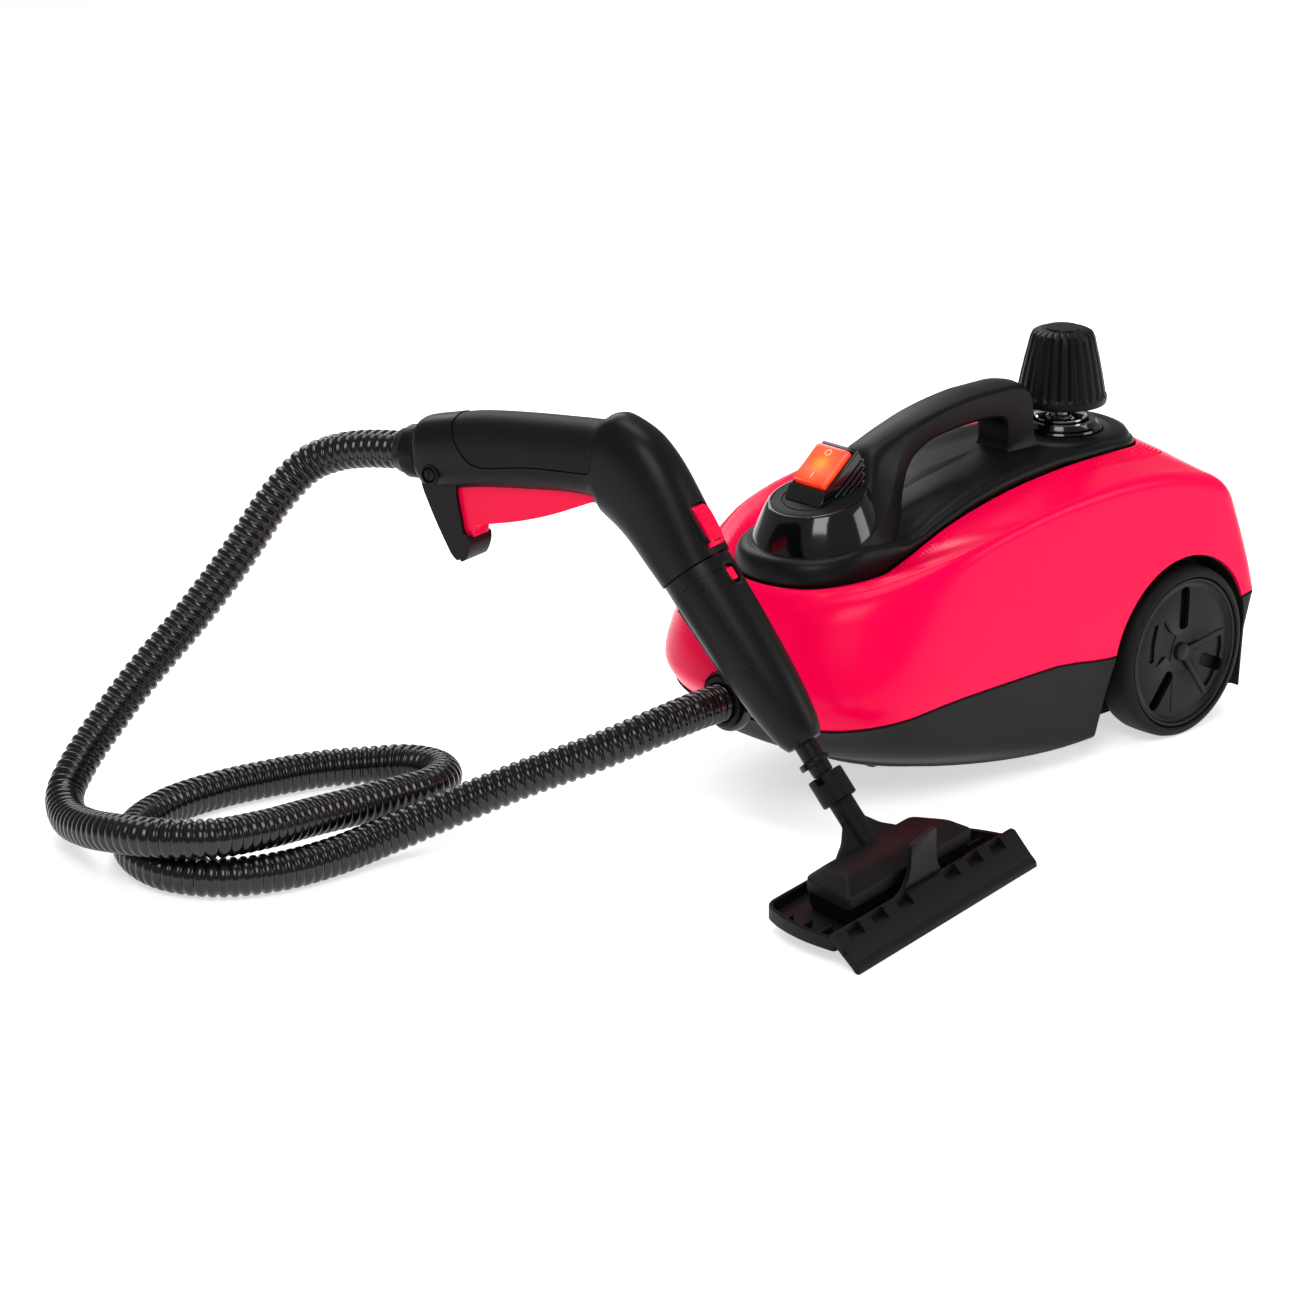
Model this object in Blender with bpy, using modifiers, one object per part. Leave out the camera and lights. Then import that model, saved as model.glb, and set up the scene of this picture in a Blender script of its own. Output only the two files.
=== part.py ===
"""Canister steam cleaner with its hose, trigger handset, extension tube, brush head and window squeegee.

Metres, +Z up, floor at z = 0. The machine stands on two rear wheels and a front caster, its nose
to -X. Its own frame has its origin on the floor under the filler cap; the handset's frame has its
origin under the middle of the squeegee lip, X along the lip. Both frames are empties.
"""
from math import asin, cos, pi, radians, sin

import bmesh
import bpy
from mathutils import Matrix, Vector

MM = 0.001
GAP = 0.3  # clearance between neighbouring pieces, mm

# Placing, mm: the box of machine and handset together is centred on the origin
MACHINE_AT = (164.4, 29.3, 0.0)
HANDSET_AT = (-330.1, -216.7, 0.0)  # in the machine's frame
HANDSET_TURN = 12.476  # degrees about Z

# Driving sizes, mm
WHEEL_R = 58.0
TREAD_STEPS = 34  # the wheels rest on a flat of their tread
WHEEL_FACE = 103.0  # half width over the wheels
WHEEL_WIDTH = 30.0
WELL_IN = WHEEL_FACE - WHEEL_WIDTH - 3.0
AXLE_X, AXLE_R = 17.0, 4.0
ARCH_R = 66.0
ARCH_FOOT = (-72.0, 79.0)  # front and rear of the arch at the floor
FLOOR_Z = 17.5  # underside of the base
LINER_SPLIT = 68.0  # height where the base's wheel liners meet the shell's
WALL = 2.4
HOSE_R = 12.3
CASTER_X, CASTER_R, CASTER_TRAIL = -184.0, 12.0, 8.0
CASTER_WELL = 22.5
SOCKET_Z, SOCKET_FACE = 76.0, -309.0
DOME_AT = (-228.0, 195.5)  # x, z of the switch plate's centre
DOME_TILT = 12.0
ROCKER_AT = (-221.0, 209.4)  # x, z of the rocker's pivot
ROCKER_TILT = 38.9
HANDLE_HALF = 14.0
TUBE_FOOT = (59.7, 37.2)  # y, z of the lance axis where it leaves the brush
TUBE_TILT = 50.4  # degrees above the floor
JOINT_T = 193.0  # distance along the lance from its foot to the handset's joint
TRIGGER_PIVOT = (258.0, 231.0)
LATCH_PIVOT_T, LATCH_PIVOT_N = 200.0, 17.0
BLADE_HALF = 103.0

# Hose centreline in the machine's frame, mm: from the socket down to the floor, round one loop,
# over its own start and up into the handset's cuff
HOSE_ROUTE = [
    (-309.3, 0, 76), (-320, 0, 76), (-336, -1, 76), (-366, 3, 71.5), (-403, 19, 59.5), (-441, 43, 45.5),
    (-480, 66, 30), (-520, 81, 18), (-560, 85, 13.5), (-600, 91, 13), (-631, 109, 13), (-646, 139, 13),
    (-641, 175, 13), (-617, 206, 13), (-581, 223, 13), (-541, 226, 13), (-501, 220, 13), (-467, 211, 13),
    (-441, 197, 13), (-424, 176, 16), (-421, 150, 19), (-433, 128, 22), (-456, 115, 24.5), (-486, 112, 27),
    (-518, 111, 29), (-555, 109, 32), (-596, 104, 36), (-631, 108, 38.5), (-653, 130, 38), (-660, 165, 33),
    (-656, 203, 25), (-645, 238, 20), (-629, 263, 25), (-609, 272, 40), (-587, 273, 60), (-560, 271, 85),
    (-522, 267, 117), (-487, 263, 151), (-460, 257, 184), (-441.5, 246, 205), (-431, 229, 214.5),
    (-424.8, 210, 219.6), (-421.2, 194.8, 222.1), (-419.4, 186.8, 223.1), (-417.6, 178.9, 224.1)]

RED = ("shell_red", (0.90, 0.0, 0.055), 0.22, 0.0)
BLACK = ("satin_black", (0.018, 0.018, 0.019), 0.45, 0.0)
GLOSS = ("gloss_black", (0.008, 0.008, 0.009), 0.12, 0.0)
SOFT = ("soft_black", (0.02, 0.02, 0.021), 0.65, 0.0)
RUBBER = ("rubber_black", (0.012, 0.012, 0.012), 0.75, 0.0)
CHROME = ("chrome", (0.75, 0.75, 0.76), 0.12, 1.0)
ALLOY = ("cast_alloy", (0.55, 0.56, 0.57), 0.45, 1.0)
STEEL = ("spring_steel", (0.5, 0.5, 0.52), 0.3, 1.0)
BRASS = ("brass", (0.65, 0.48, 0.2), 0.3, 1.0)
LAMP = ("rocker_orange", (1.0, 0.12, 0.03), 0.2, 0.0)
CREAM = ("ceramic_cream", (0.75, 0.72, 0.62), 0.6, 0.0)


# ---------------------------------------------------------------- scene and materials
def clear_scene():
    for thing in list(bpy.data.objects):
        bpy.data.objects.remove(thing)


def collection(name):
    group = bpy.data.collections.new(name)
    bpy.context.scene.collection.children.link(group)
    return group


def material(look):
    name, colour, roughness, metallic = look
    made = bpy.data.materials.get(name)
    if made is None:
        made = bpy.data.materials.new(name)
        made.use_nodes = True
        shader = made.node_tree.nodes["Principled BSDF"]
        shader.inputs["Base Color"].default_value = (*colour, 1.0)
        shader.inputs["Roughness"].default_value = roughness
        shader.inputs["Metallic"].default_value = metallic
        made.diffuse_color = (*colour, 1.0)
    return made


def empty(name, parent=None, at=(0, 0, 0), turn=(0, 0, 0)):
    made = bpy.data.objects.new(name, None)
    PARTS.objects.link(made)
    place(made, parent, at, turn)
    return made


def place(thing, parent, at=(0, 0, 0), turn=(0, 0, 0)):
    """Location in mm and rotation in degrees under a parent."""
    thing.parent = parent
    thing.location = [value * MM for value in at]
    thing.rotation_euler = [radians(angle) for angle in turn]
    return thing


def add(name, mesh, look, parent, at=(0, 0, 0), turn=(0, 0, 0), smooth=35):
    made = bpy.data.objects.new(name, mesh)
    mesh.materials.append(material(look))
    if smooth:
        mesh.shade_smooth()
        mesh.set_sharp_from_angle(angle=radians(smooth))
    PARTS.objects.link(made)
    return place(made, parent, at, turn)


def mesh_of(bm, name):
    mesh = bpy.data.meshes.new(name)
    bm.to_mesh(mesh)
    bm.free()
    return mesh


# ---------------------------------------------------------------- shapes, all sizes in mm
def box(name, look, parent, low, high, turn=(0, 0, 0), bevel=0.0, origin=None):
    """A box between two corners; it turns about origin, or about its own centre."""
    bm = bmesh.new()
    bmesh.ops.create_cube(bm, size=1.0)
    centre = [(a + b) / 2 for a, b in zip(low, high)]
    origin = origin or centre
    for vert in bm.verts:
        for axis in range(3):
            size = high[axis] - low[axis]
            vert.co[axis] = (vert.co[axis] * size + centre[axis] - origin[axis]) * MM
    if bevel:
        bmesh.ops.bevel(bm, geom=bm.edges[:], offset=bevel * MM, segments=2, affect="EDGES", profile=0.5)
    return add(name, mesh_of(bm, name), look, parent, origin, turn)


def rod(name, look, parent, radius, length, at, turn=(0, 0, 0), sides=24, end_radius=None):
    """A cylinder or cone centred on `at`, along its own Z."""
    bm = bmesh.new()
    bmesh.ops.create_cone(
        bm, cap_ends=True, segments=sides, radius1=radius * MM,
        radius2=(radius if end_radius is None else end_radius) * MM, depth=length * MM)
    return add(name, mesh_of(bm, name), look, parent, at, turn)


def turned(name, look, parent, profile, at=(0, 0, 0), turn=(0, 0, 0), steps=32, closed=False):
    """A profile of (radius, height) spun about Z. It runs down the outer side."""
    mesh = bpy.data.meshes.new(name)
    edges = [(i, i + 1) for i in range(len(profile) - 1)]
    if closed:
        edges.append((len(profile) - 1, 0))
    mesh.from_pydata([(r * MM, 0, z * MM) for r, z in profile], edges, [])
    made = add(name, mesh, look, parent, at, turn, smooth=0)
    spin = made.modifiers.new("Spin", "SCREW")
    spin.angle = 2 * pi
    spin.steps = spin.render_steps = steps
    spin.use_merge_vertices = True
    spin.merge_threshold = 0.00001
    spin.use_smooth_shade = True
    return made


def slab(name, look, parent, outline, low, high, plane="YZ", bevel=0.0, at=(0, 0, 0), turn=(0, 0, 0)):
    """A flat outline given in one plane, thick from low to high along that plane's normal."""
    bm = bmesh.new()
    axes = {"YZ": (1, 2, 0), "XZ": (0, 2, 1), "XY": (0, 1, 2)}[plane]
    loops = []
    for depth in (low, high):
        loop = []
        for a, b in outline:
            point = [0.0, 0.0, 0.0]
            point[axes[0]], point[axes[1]], point[axes[2]] = a * MM, b * MM, depth * MM
            loop.append(bm.verts.new(point))
        loops.append(loop)
    loft_faces(bm, loops)
    if bevel:
        rim = [e for e in bm.edges if len({v.co[axes[2]] for v in e.verts}) == 1]
        bmesh.ops.bevel(bm, geom=rim, offset=bevel * MM, segments=2, affect="EDGES", profile=0.5)
    return add(name, mesh_of(bm, name), look, parent, at, turn)


def loft_faces(bm, loops, closed=False):
    """Faces from ring to ring; the ends are capped, or the last ring joins the first."""
    for first, second in zip(loops, loops[1:] + (loops[:1] if closed else [])):
        count = len(first)
        for i in range(count):
            j = (i + 1) % count
            bm.faces.new((first[i], first[j], second[j], second[i]))
    if not closed:
        bm.faces.new(loops[0][::-1])
        bm.faces.new(loops[-1])
    bmesh.ops.recalc_face_normals(bm, faces=bm.faces[:])


def loft(name, look, parent, rings, at=(0, 0, 0), turn=(0, 0, 0), smooth=35, closed=False):
    """A solid through rings of points with equal counts."""
    bm = bmesh.new()
    loft_faces(bm, [[bm.verts.new([value * MM for value in p]) for p in ring] for ring in rings], closed)
    return add(name, mesh_of(bm, name), look, parent, at, turn, smooth)


def tube(name, look, parent, points, radius, sides=2, at=(0, 0, 0), turn=(0, 0, 0), solid=False):
    """A round bar along points; made a welded mesh where it is to be cut or joined."""
    curve = bpy.data.curves.new(name, "CURVE")
    curve.dimensions = "3D"
    curve.bevel_depth = radius * MM
    curve.bevel_resolution = sides
    curve.use_fill_caps = True
    line = curve.splines.new("POLY")
    line.points.add(len(points) - 1)
    for target, point in zip(line.points, points):
        target.co = (*[value * MM for value in point], 1.0)
    made = bpy.data.objects.new(name, curve)
    curve.materials.append(material(look))
    PARTS.objects.link(made)
    place(made, parent, at, turn)
    if not solid:
        return made
    bpy.context.view_layer.update()
    graph = bpy.context.evaluated_depsgraph_get()
    mesh = bpy.data.meshes.new_from_object(made.evaluated_get(graph))
    bpy.data.objects.remove(made)
    bm = bmesh.new()
    bm.from_mesh(mesh)
    bmesh.ops.remove_doubles(bm, verts=bm.verts[:], dist=0.00001)
    bm.to_mesh(mesh)
    bm.free()
    mesh.materials.clear()
    return add(name, mesh, look, parent, at, turn)


def combine(target, tool, operation):
    """Cut a tool from a piece, join it, or keep what they share; the tool becomes a hidden guide."""
    step = target.modifiers.new(operation.title(), "BOOLEAN")
    step.operation = operation
    step.object = tool
    if tool.name in PARTS.objects:
        PARTS.objects.unlink(tool)
        CUTTERS.objects.link(tool)
    tool.hide_render = True
    tool.display_type = "WIRE"


def cut(target, *tools):
    for tool in tools:
        combine(target, tool, "DIFFERENCE")


def join(target, *tools):
    for tool in tools:
        combine(target, tool, "UNION")


def smooth_line(route, per_span):
    """Points on a centripetal Catmull-Rom curve through the route."""
    pts = [Vector(p) for p in route]
    pts = [2 * pts[0] - pts[1], *pts, 2 * pts[-1] - pts[-2]]
    line = []
    for a, b, c, d in zip(pts, pts[1:], pts[2:], pts[3:]):
        t1 = (b - a).length ** 0.5
        t2 = t1 + (c - b).length ** 0.5
        t3 = t2 + (d - c).length ** 0.5
        for step in range(per_span):
            t = t1 + (t2 - t1) * step / per_span
            ab = a * (t1 - t) / t1 + b * t / t1
            bc = b * (t2 - t) / (t2 - t1) + c * (t - t1) / (t2 - t1)
            cd = c * (t3 - t) / (t3 - t2) + d * (t - t2) / (t3 - t2)
            abc = ab * (t2 - t) / t2 + bc * t / t2
            bcd = bc * (t3 - t) / (t3 - t1) + cd * (t - t1) / (t3 - t1)
            line.append(tuple(abc * (t2 - t) / (t2 - t1) + bcd * (t - t1) / (t2 - t1)))
    return line + [tuple(pts[-2])]


def helix(radius, low, high, turns, per_turn=8):
    """Compression spring centreline along Z."""
    count = turns * per_turn
    return [(radius * cos(2 * pi * i / per_turn), radius * sin(2 * pi * i / per_turn),
             low + (high - low) * i / count) for i in range(count + 1)]


# ---------------------------------------------------------------- body outline curves
def along(x, table):
    """Smooth monotone curve through (x, value) pairs."""
    xs, ys = zip(*table)
    if x <= xs[0]:
        return ys[0]
    if x >= xs[-1]:
        return ys[-1]
    slopes = [(ys[i + 1] - ys[i]) / (xs[i + 1] - xs[i]) for i in range(len(xs) - 1)]
    bends = [slopes[0]]
    for before, after in zip(slopes, slopes[1:]):
        bends.append(0 if before * after <= 0 else 2 * before * after / (before + after))
    bends.append(slopes[-1])
    i = max(k for k in range(len(slopes)) if xs[k] <= x)
    h = xs[i + 1] - xs[i]
    t = (x - xs[i]) / h
    return ((1 + 2 * t) * (1 - t) ** 2 * ys[i] + t * (1 - t) ** 2 * h * bends[i]
            + t * t * (3 - 2 * t) * ys[i + 1] + t * t * (t - 1) * h * bends[i + 1])


# Rings of the machine's skin, bottom to top: nose x, nose length and power, tail x, tail length and
# power, half width against x, height against x
BODY_RINGS = {
    "bottom": (-230, 150, 2.0, 88, 20, 4.0, [(0, 96)], [(-230, 21), (-80, 16.5), (88, 18)]),
    "bilge": (-288, 110, 2.2, 94, 22, 3.5, [(0, 96)], [(-288, 49), (-200, 42), (94, 42)]),
    "parting": (-299, 75, 2.5, 103, 20, 3.2, [(0, 98)],
                [(-299, 66), (-250, 72), (-190, 75.5), (-110, 76), (-45, 69), (17, 74), (103, 86)]),
    "waist": (-309, 82, 2.5, 98, 26, 3.0, [(0, 99.5)], [(-309, 84), (0, 108), (98, 108)]),
    "crease": (-298, 130, 2.2, 82, 32, 2.6, [(0, 97)],
               [(-298, 126), (-285, 140), (-260, 152), (-235, 160), (-200, 169), (-150, 178),
                (-92, 184), (-40, 186), (0, 184), (37, 176), (60, 168), (82, 157)]),
    "panel": (-281, 50, 2.1, 50, 50, 2.0, [(-231, 49), (-140, 48), (0, 49)],
              [(-281, 150), (-225, 151), (-198, 158), (-165, 170), (-132, 178.5), (-87, 186),
               (-40, 189.5), (0, 190), (30, 187), (50, 184)]),
}
QUARTER = 7  # points on each nose and tail quarter, and along each side


def ring(key, inset=0.0, lift=0.0):
    """Points round the machine at one level, nose tip first and down the near side."""
    nose, nose_len, nose_pow, tail, tail_len, tail_pow, half, height = BODY_RINGS[key]
    steps = [i / QUARTER for i in range(QUARTER + 1)]
    points = [(nose + nose_len * (1 - cos(s * pi / 2) ** (2 / nose_pow)), sin(s * pi / 2) ** (2 / nose_pow))
              for s in steps]
    run = tail - tail_len - nose - nose_len
    points += [(nose + nose_len + run * s, 1.0) for s in steps[1:-1]]
    points += [(tail - tail_len * (1 - sin(s * pi / 2) ** (2 / tail_pow)), cos(s * pi / 2) ** (2 / tail_pow))
               for s in steps]
    middle, reach = (nose + tail) / 2, (tail - nose) / 2
    near = []
    for x, share in points:
        side = -share * (along(x, half) - inset)
        drawn_in = middle + (x - middle) * (1 - inset / reach)
        near.append((drawn_in, side, along(x, height) + lift))
    far = [(x, -y, z) for x, y, z in near[-2:0:-1]]
    return near + far


def flat(key, inset, height):
    return [(x, y, height) for x, y, z in ring(key, inset)]


def arch_outline(radius, floor, steps=14):
    """The part of the wheel arch above a level, in the XZ plane, front to rear."""
    start = asin((floor - WHEEL_R) / radius)
    angles = [pi - start - (pi - 2 * start) * i / steps for i in range(steps + 1)]
    return [(AXLE_X + radius * cos(a), WHEEL_R + radius * sin(a)) for a in angles]


def on_sides(name, outline, inner, outer):
    """The same slab on both sides of the machine, between two distances from its middle."""
    return [slab(f"{name}_{side}", BLACK, MACHINE, outline, *sorted((side * inner, side * outer)), "XZ")
            for side in (-1, 1)]


def wheel_wells(name):
    mouth = [(ARCH_FOOT[1], -5), (ARCH_FOOT[0], -5)]
    return on_sides(name, arch_outline(ARCH_R, 66) + mouth, WELL_IN, WHEEL_FACE + 20)


def lower_base():
    base = loft("lower_base", BLACK, MACHINE,
                [flat("bottom", 16, FLOOR_Z + WALL), ring("bottom", WALL, WALL), ring("bilge", WALL),
                 ring("parting", WALL, -GAP / 2), ring("parting", 0, -GAP / 2), ring("bilge"), ring("bottom"),
                 flat("bottom", 16, FLOOR_Z)])
    front, rear = ARCH_FOOT
    liner = [(front + 21 - WALL, LINER_SPLIT), (front - WALL, FLOOR_Z + 1), (rear + WALL, FLOOR_Z + 1), (rear + 5.7, LINER_SPLIT)]
    join(base, *on_sides("base_liner", liner, WELL_IN - WALL, 95.8),
         rod("caster_wall", BLACK, MACHINE, CASTER_WELL + WALL, 25, (CASTER_X, 0, 31.5), sides=20))
    cut(base, *wheel_wells("base_well"), rod("caster_pocket", BLACK, MACHINE, CASTER_WELL, 60, (CASTER_X, 0, 11), sides=20),
        rod("axle_hole", BLACK, MACHINE, AXLE_R + GAP, 240, (AXLE_X, 0, WHEEL_R), (90, 0, 0), sides=16),
        rod("caster_hole", BLACK, MACHINE, 4 + GAP, 30, (CASTER_X, 0, 44), sides=16),
        rod("gland_hole", BLACK, MACHINE, 6.5, 40, (95, 45, 50), (0, 90, 0), sides=16), *socket_holes("base"))
    for index, (x, y) in enumerate(BASE_SCREWS):
        cut(base, rod(f"base_screw_hole_{index}", BLACK, MACHINE, 1.5 + GAP, 30, (x, y, 20), sides=8))


def socket_holes(name):
    """Bore and counterbore in the nose for the hose socket."""
    return (rod(f"{name}_socket_hole", BLACK, MACHINE, 16 + GAP, 70, (-290, 0, SOCKET_Z), (0, 90, 0), sides=24),
            rod(f"{name}_socket_face", BLACK, MACHINE, 19.5 + GAP, 40, (-322.7, 0, SOCKET_Z), (0, 90, 0), sides=24))


def upper_shell():
    shell = loft("upper_shell", RED, MACHINE,
                 [ring("parting", WALL, GAP / 2), ring("parting", 0, GAP / 2), ring("waist"), ring("crease"),
                  ring("panel"), ring("panel", WALL, -WALL), ring("crease", WALL, -WALL), ring("waist", WALL)],
                 closed=True)
    join(shell, *on_sides("shell_liner", arch_outline(ARCH_R + WALL, LINER_SPLIT + GAP), WELL_IN - WALL, 92),
         *on_sides("arch_lip", arch_outline(ARCH_R + WALL, 88), 90, 97.4))
    cut(shell, *wheel_wells("shell_well"), *socket_holes("shell"))


def panel_rings(inset, lift):
    """Levels of the black top panel: its edge, the top of its rim, and the crown inside."""
    edge = ring("panel", inset, GAP + lift)
    rim = [(x, y, z + along(x, [(-231, 15), (-190, 13), (-150, 7), (-60, 4), (50, 5)]))
           for x, y, z in ring("panel", inset + 4, lift)]
    crown = [(x * 0.6 - 48, y * 0.5, along(x * 0.6 - 48, [(-217, 168), (-172, 178), (-110, 188), (-18, 195)]) + lift)
             for x, y, z in ring("panel", inset, 0)]
    return edge, rim, crown


def top_panel():
    edge, rim, crown = panel_rings(WALL, -WALL)
    panel = loft("top_panel", BLACK, MACHINE, [crown, rim, edge, *panel_rings(0, 0)])
    cut(panel, rod("neck_hole", BLACK, MACHINE, 19 + GAP, 60, (0, 0, 190), sides=24),
        rod("switch_hole", BLACK, MACHINE, 24, 60, (DOME_AT[0], 0, 170), sides=20),
        rod("dome_seat", BLACK, MACHINE, 44.3, 60, (DOME_AT[0], 0, 172 - GAP + 30), sides=24))


def dome_ring(centre, radius_x, radius_y, height, tilt, sides=24):
    rise = sin(radians(tilt))
    return [(centre + radius_x * cos(a), radius_y * sin(a), height + radius_x * cos(a) * rise)
            for a in (2 * pi * i / sides for i in range(sides))]


def switch_dome():
    """Tapered pod that carries the lit rocker, its top tilted up to the rear."""
    x, z = DOME_AT
    dome = loft("switch_dome", GLOSS, MACHINE,
                [dome_ring(x, 30, 28, z - 5, DOME_TILT), dome_ring(x, 37, 37.5, 176, 4), dome_ring(x, 40, 41, 172, 0),
                 dome_ring(x, 43, 43.5, 172, 0), dome_ring(x, 41.5, 42, 179, 4), dome_ring(x, 34, 33, z - 2, DOME_TILT),
                 dome_ring(x, 31.5, 30.5, z, DOME_TILT)])
    cut(dome, box("dome_switch_hole", GLOSS, MACHINE, (-236 - GAP, -16 - GAP, 150), (-206 + GAP, 16 + GAP, 230)))


def carry_handle():
    outline = [(-193.5, 204.5), (-191, 214), (-184, 221), (-176, 223.3), (-158, 229.3), (-132, 236),
               (-100, 239.3), (-67, 240), (-52, 238), (-44, 231), (-42, 215), (-42, 194), (-67, 192.2),
               (-70, 206), (-76, 217), (-90, 225.5), (-108, 224.8), (-130, 221), (-148, 210), (-160, 197),
               (-163, 181.4), (-183.9, 177.4), (-185.6, 182), (-193.2, 200.8)]
    return slab("carry_handle", BLACK, MACHINE, outline, -HANDLE_HALF, HANDLE_HALF, "XZ", bevel=3)


# ---------------------------------------------------------------- machine: switch
def switch_parts():
    wedge = [(-241, 193.4), (-236.9, 200.4), (-207.3, 224.3), (-203.5, 214), (-203.5, 201.6), (-206, 201),
             (-206, 182), (-236, 182), (-236, 194.4)]
    bezel = slab("switch_bezel", SOFT, MACHINE, wedge, -16, 16, "XZ")
    seat = empty("switch_seat", MACHINE, (ROCKER_AT[0], 0, ROCKER_AT[1]), (0, -ROCKER_TILT, 0))
    well = [(-15.4, 14), (17, 14), (17, -3.5), (10, -9), (-10, -9), (-15.4, -3)]
    cut(bezel, slab("bezel_well", SOFT, seat, well, -13.5, 13.5, "XZ"))
    rocker = [(-14.9, 8), (0, 7.4), (14.9, 8), (14.6, 1), (8, -6.5), (-8, -6.5), (-14.6, 1)]
    slab("switch_rocker", LAMP, seat, rocker, -13, 13, "XZ", bevel=1)


# ---------------------------------------------------------------- machine: boiler and filler cap
def boiler_parts():
    lower = [(0, 77), (43, 78), (57.5, 84), (61, 101), (61, 112), (66, 112), (65, 100), (60, 82), (44, 75), (0, 74)]
    turned("boiler_lower", ALLOY, MACHINE, lower, steps=24)
    upper = [(18.5, 194.5), (18.5, 184), (15, 182), (15, 172), (40, 165), (58, 142), (66, 122), (66, 112 + GAP),
             (61, 112 + GAP), (61, 120), (54, 139), (38, 161), (11, 168), (11, 194.5)]
    turned("boiler_upper", ALLOY, MACHINE, upper, steps=24, closed=True)
    ring_line = [(46 * cos(radians(a)), 46 * sin(radians(a)), 69) for a in range(30, 331, 15)]
    tube("heating_element", STEEL, MACHINE, [(70, 15, 69), *ring_line, (70, -15, 69)], 3.5, 2)
    rod("thermostat", CREAM, MACHINE, 9, 6, (-49.5, 49.5, 116), (90, 0, 45), sides=16)
    rod("thermal_fuse", CREAM, MACHINE, 3, 22, (-69.8, 0, 104), (90, 0, 0), sides=12)
    bracket = [(-78, -20), (-78, 20), (-60, 20), (-60, -20)]
    holder = slab("boiler_bracket", STEEL, MACHINE, bracket, 20.5, 72, "XY")
    join(holder, slab("bracket_seat", STEEL, MACHINE, [(-66, -20), (-66, 20), (-50, 20), (-50, -20)], 70, 73, "XY"))
    cut(holder, slab("bracket_web", STEEL, MACHINE, [(-75, -30), (-75, 30), (-40, 30), (-40, -30)], 24, 69.5, "XY"))


def filler_cap():
    neck = [(23.6, 202), (23.6, 198), (28, 196), (28, 195.3), (19, 195.3), (19, 202)]
    turned("neck_ring", GLOSS, MACHINE, neck, closed=True, steps=24)
    seal = [(18.3, 197.2), (18.3, 194.8), (12, 194.8), (12, 197.2)]
    turned("cap_seal", RUBBER, MACHINE, seal, closed=True, steps=24)
    plug = [(0, 216), (7, 216), (7, 206), (17.5, 204.5), (17.5, 197.5), (10.6, 197.5), (10.6, 178), (0, 178)]
    turned("cap_plug", CHROME, MACHINE, plug, steps=20)
    tube("cap_spring", STEEL, MACHINE, helix(9.4, 207.2, 222.6, 3), 0.8, 1)
    shell = [(0, 264.5), (14, 263.5), (20.7, 260), (25, 245), (30.5, 217), (30, 213.5),
             (27.5, 213.5), (22.5, 243), (18, 257), (10.5, 258), (10.5, 224), (0, 224)]
    turned("cap_knob", BLACK, MACHINE, shell, steps=24)


# ---------------------------------------------------------------- machine: steam path, wiring, outlets
def inner_parts():
    valve = box("steam_valve", BRASS, MACHINE, (-190, -16, 60), (-150, 16, 84), bevel=1.5)
    join(valve, rod("valve_coil", STEEL, MACHINE, 15, 34, (-170, 0, 99), sides=24))
    boiler_tap = smooth_line([(-57, 0, 150), (-90, 0, 150), (-120, 4, 128), (-132, 5, 98),
                              (-138, 5, 79), (-143, 5, 73.3), (-149.5, 5, 73)], 3)
    tube("boiler_pipe", BRASS, MACHINE, boiler_tap, 3, 2)
    outlet = smooth_line([(-190.4, 0, 70), (-220, 0, 70), (-250, 0, 72), (-283.5, 0, SOCKET_Z)], 3)
    tube("outlet_pipe", BRASS, MACHINE, outlet, 4, 2)
    box("terminal_block", CREAM, MACHINE, (-100, 30, 30), (-76, 60, 42), bevel=1)
    turned("cord_gland", BLACK, MACHINE, [(9, 8), (9, 0), (6.1, 0), (6.1, -8), (4, -8), (4, 8)],
                   (98, 45, 50), (0, 90, 0), 16, closed=True)
    socket = [(19, 6), (19.5, 3), (19.5, 0), (16, 0), (16, -26), (6, -26), (6, -10), (10, -10), (10, 6)]
    turned("hose_socket", BLACK, MACHINE, socket, (SOCKET_FACE + 6, 0, SOCKET_Z), (0, -90, 0), 24, closed=True)
    for index, (x, y) in enumerate(BASE_SCREWS, start=1):
        turned(f"base_screw_{index}", STEEL, MACHINE,
               [(0, 20), (1.5, 20), (1.5, -GAP), (3.4, -GAP), (3.4, -2.2), (0, -2.2)], (x, y, FLOOR_Z), steps=8)


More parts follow.
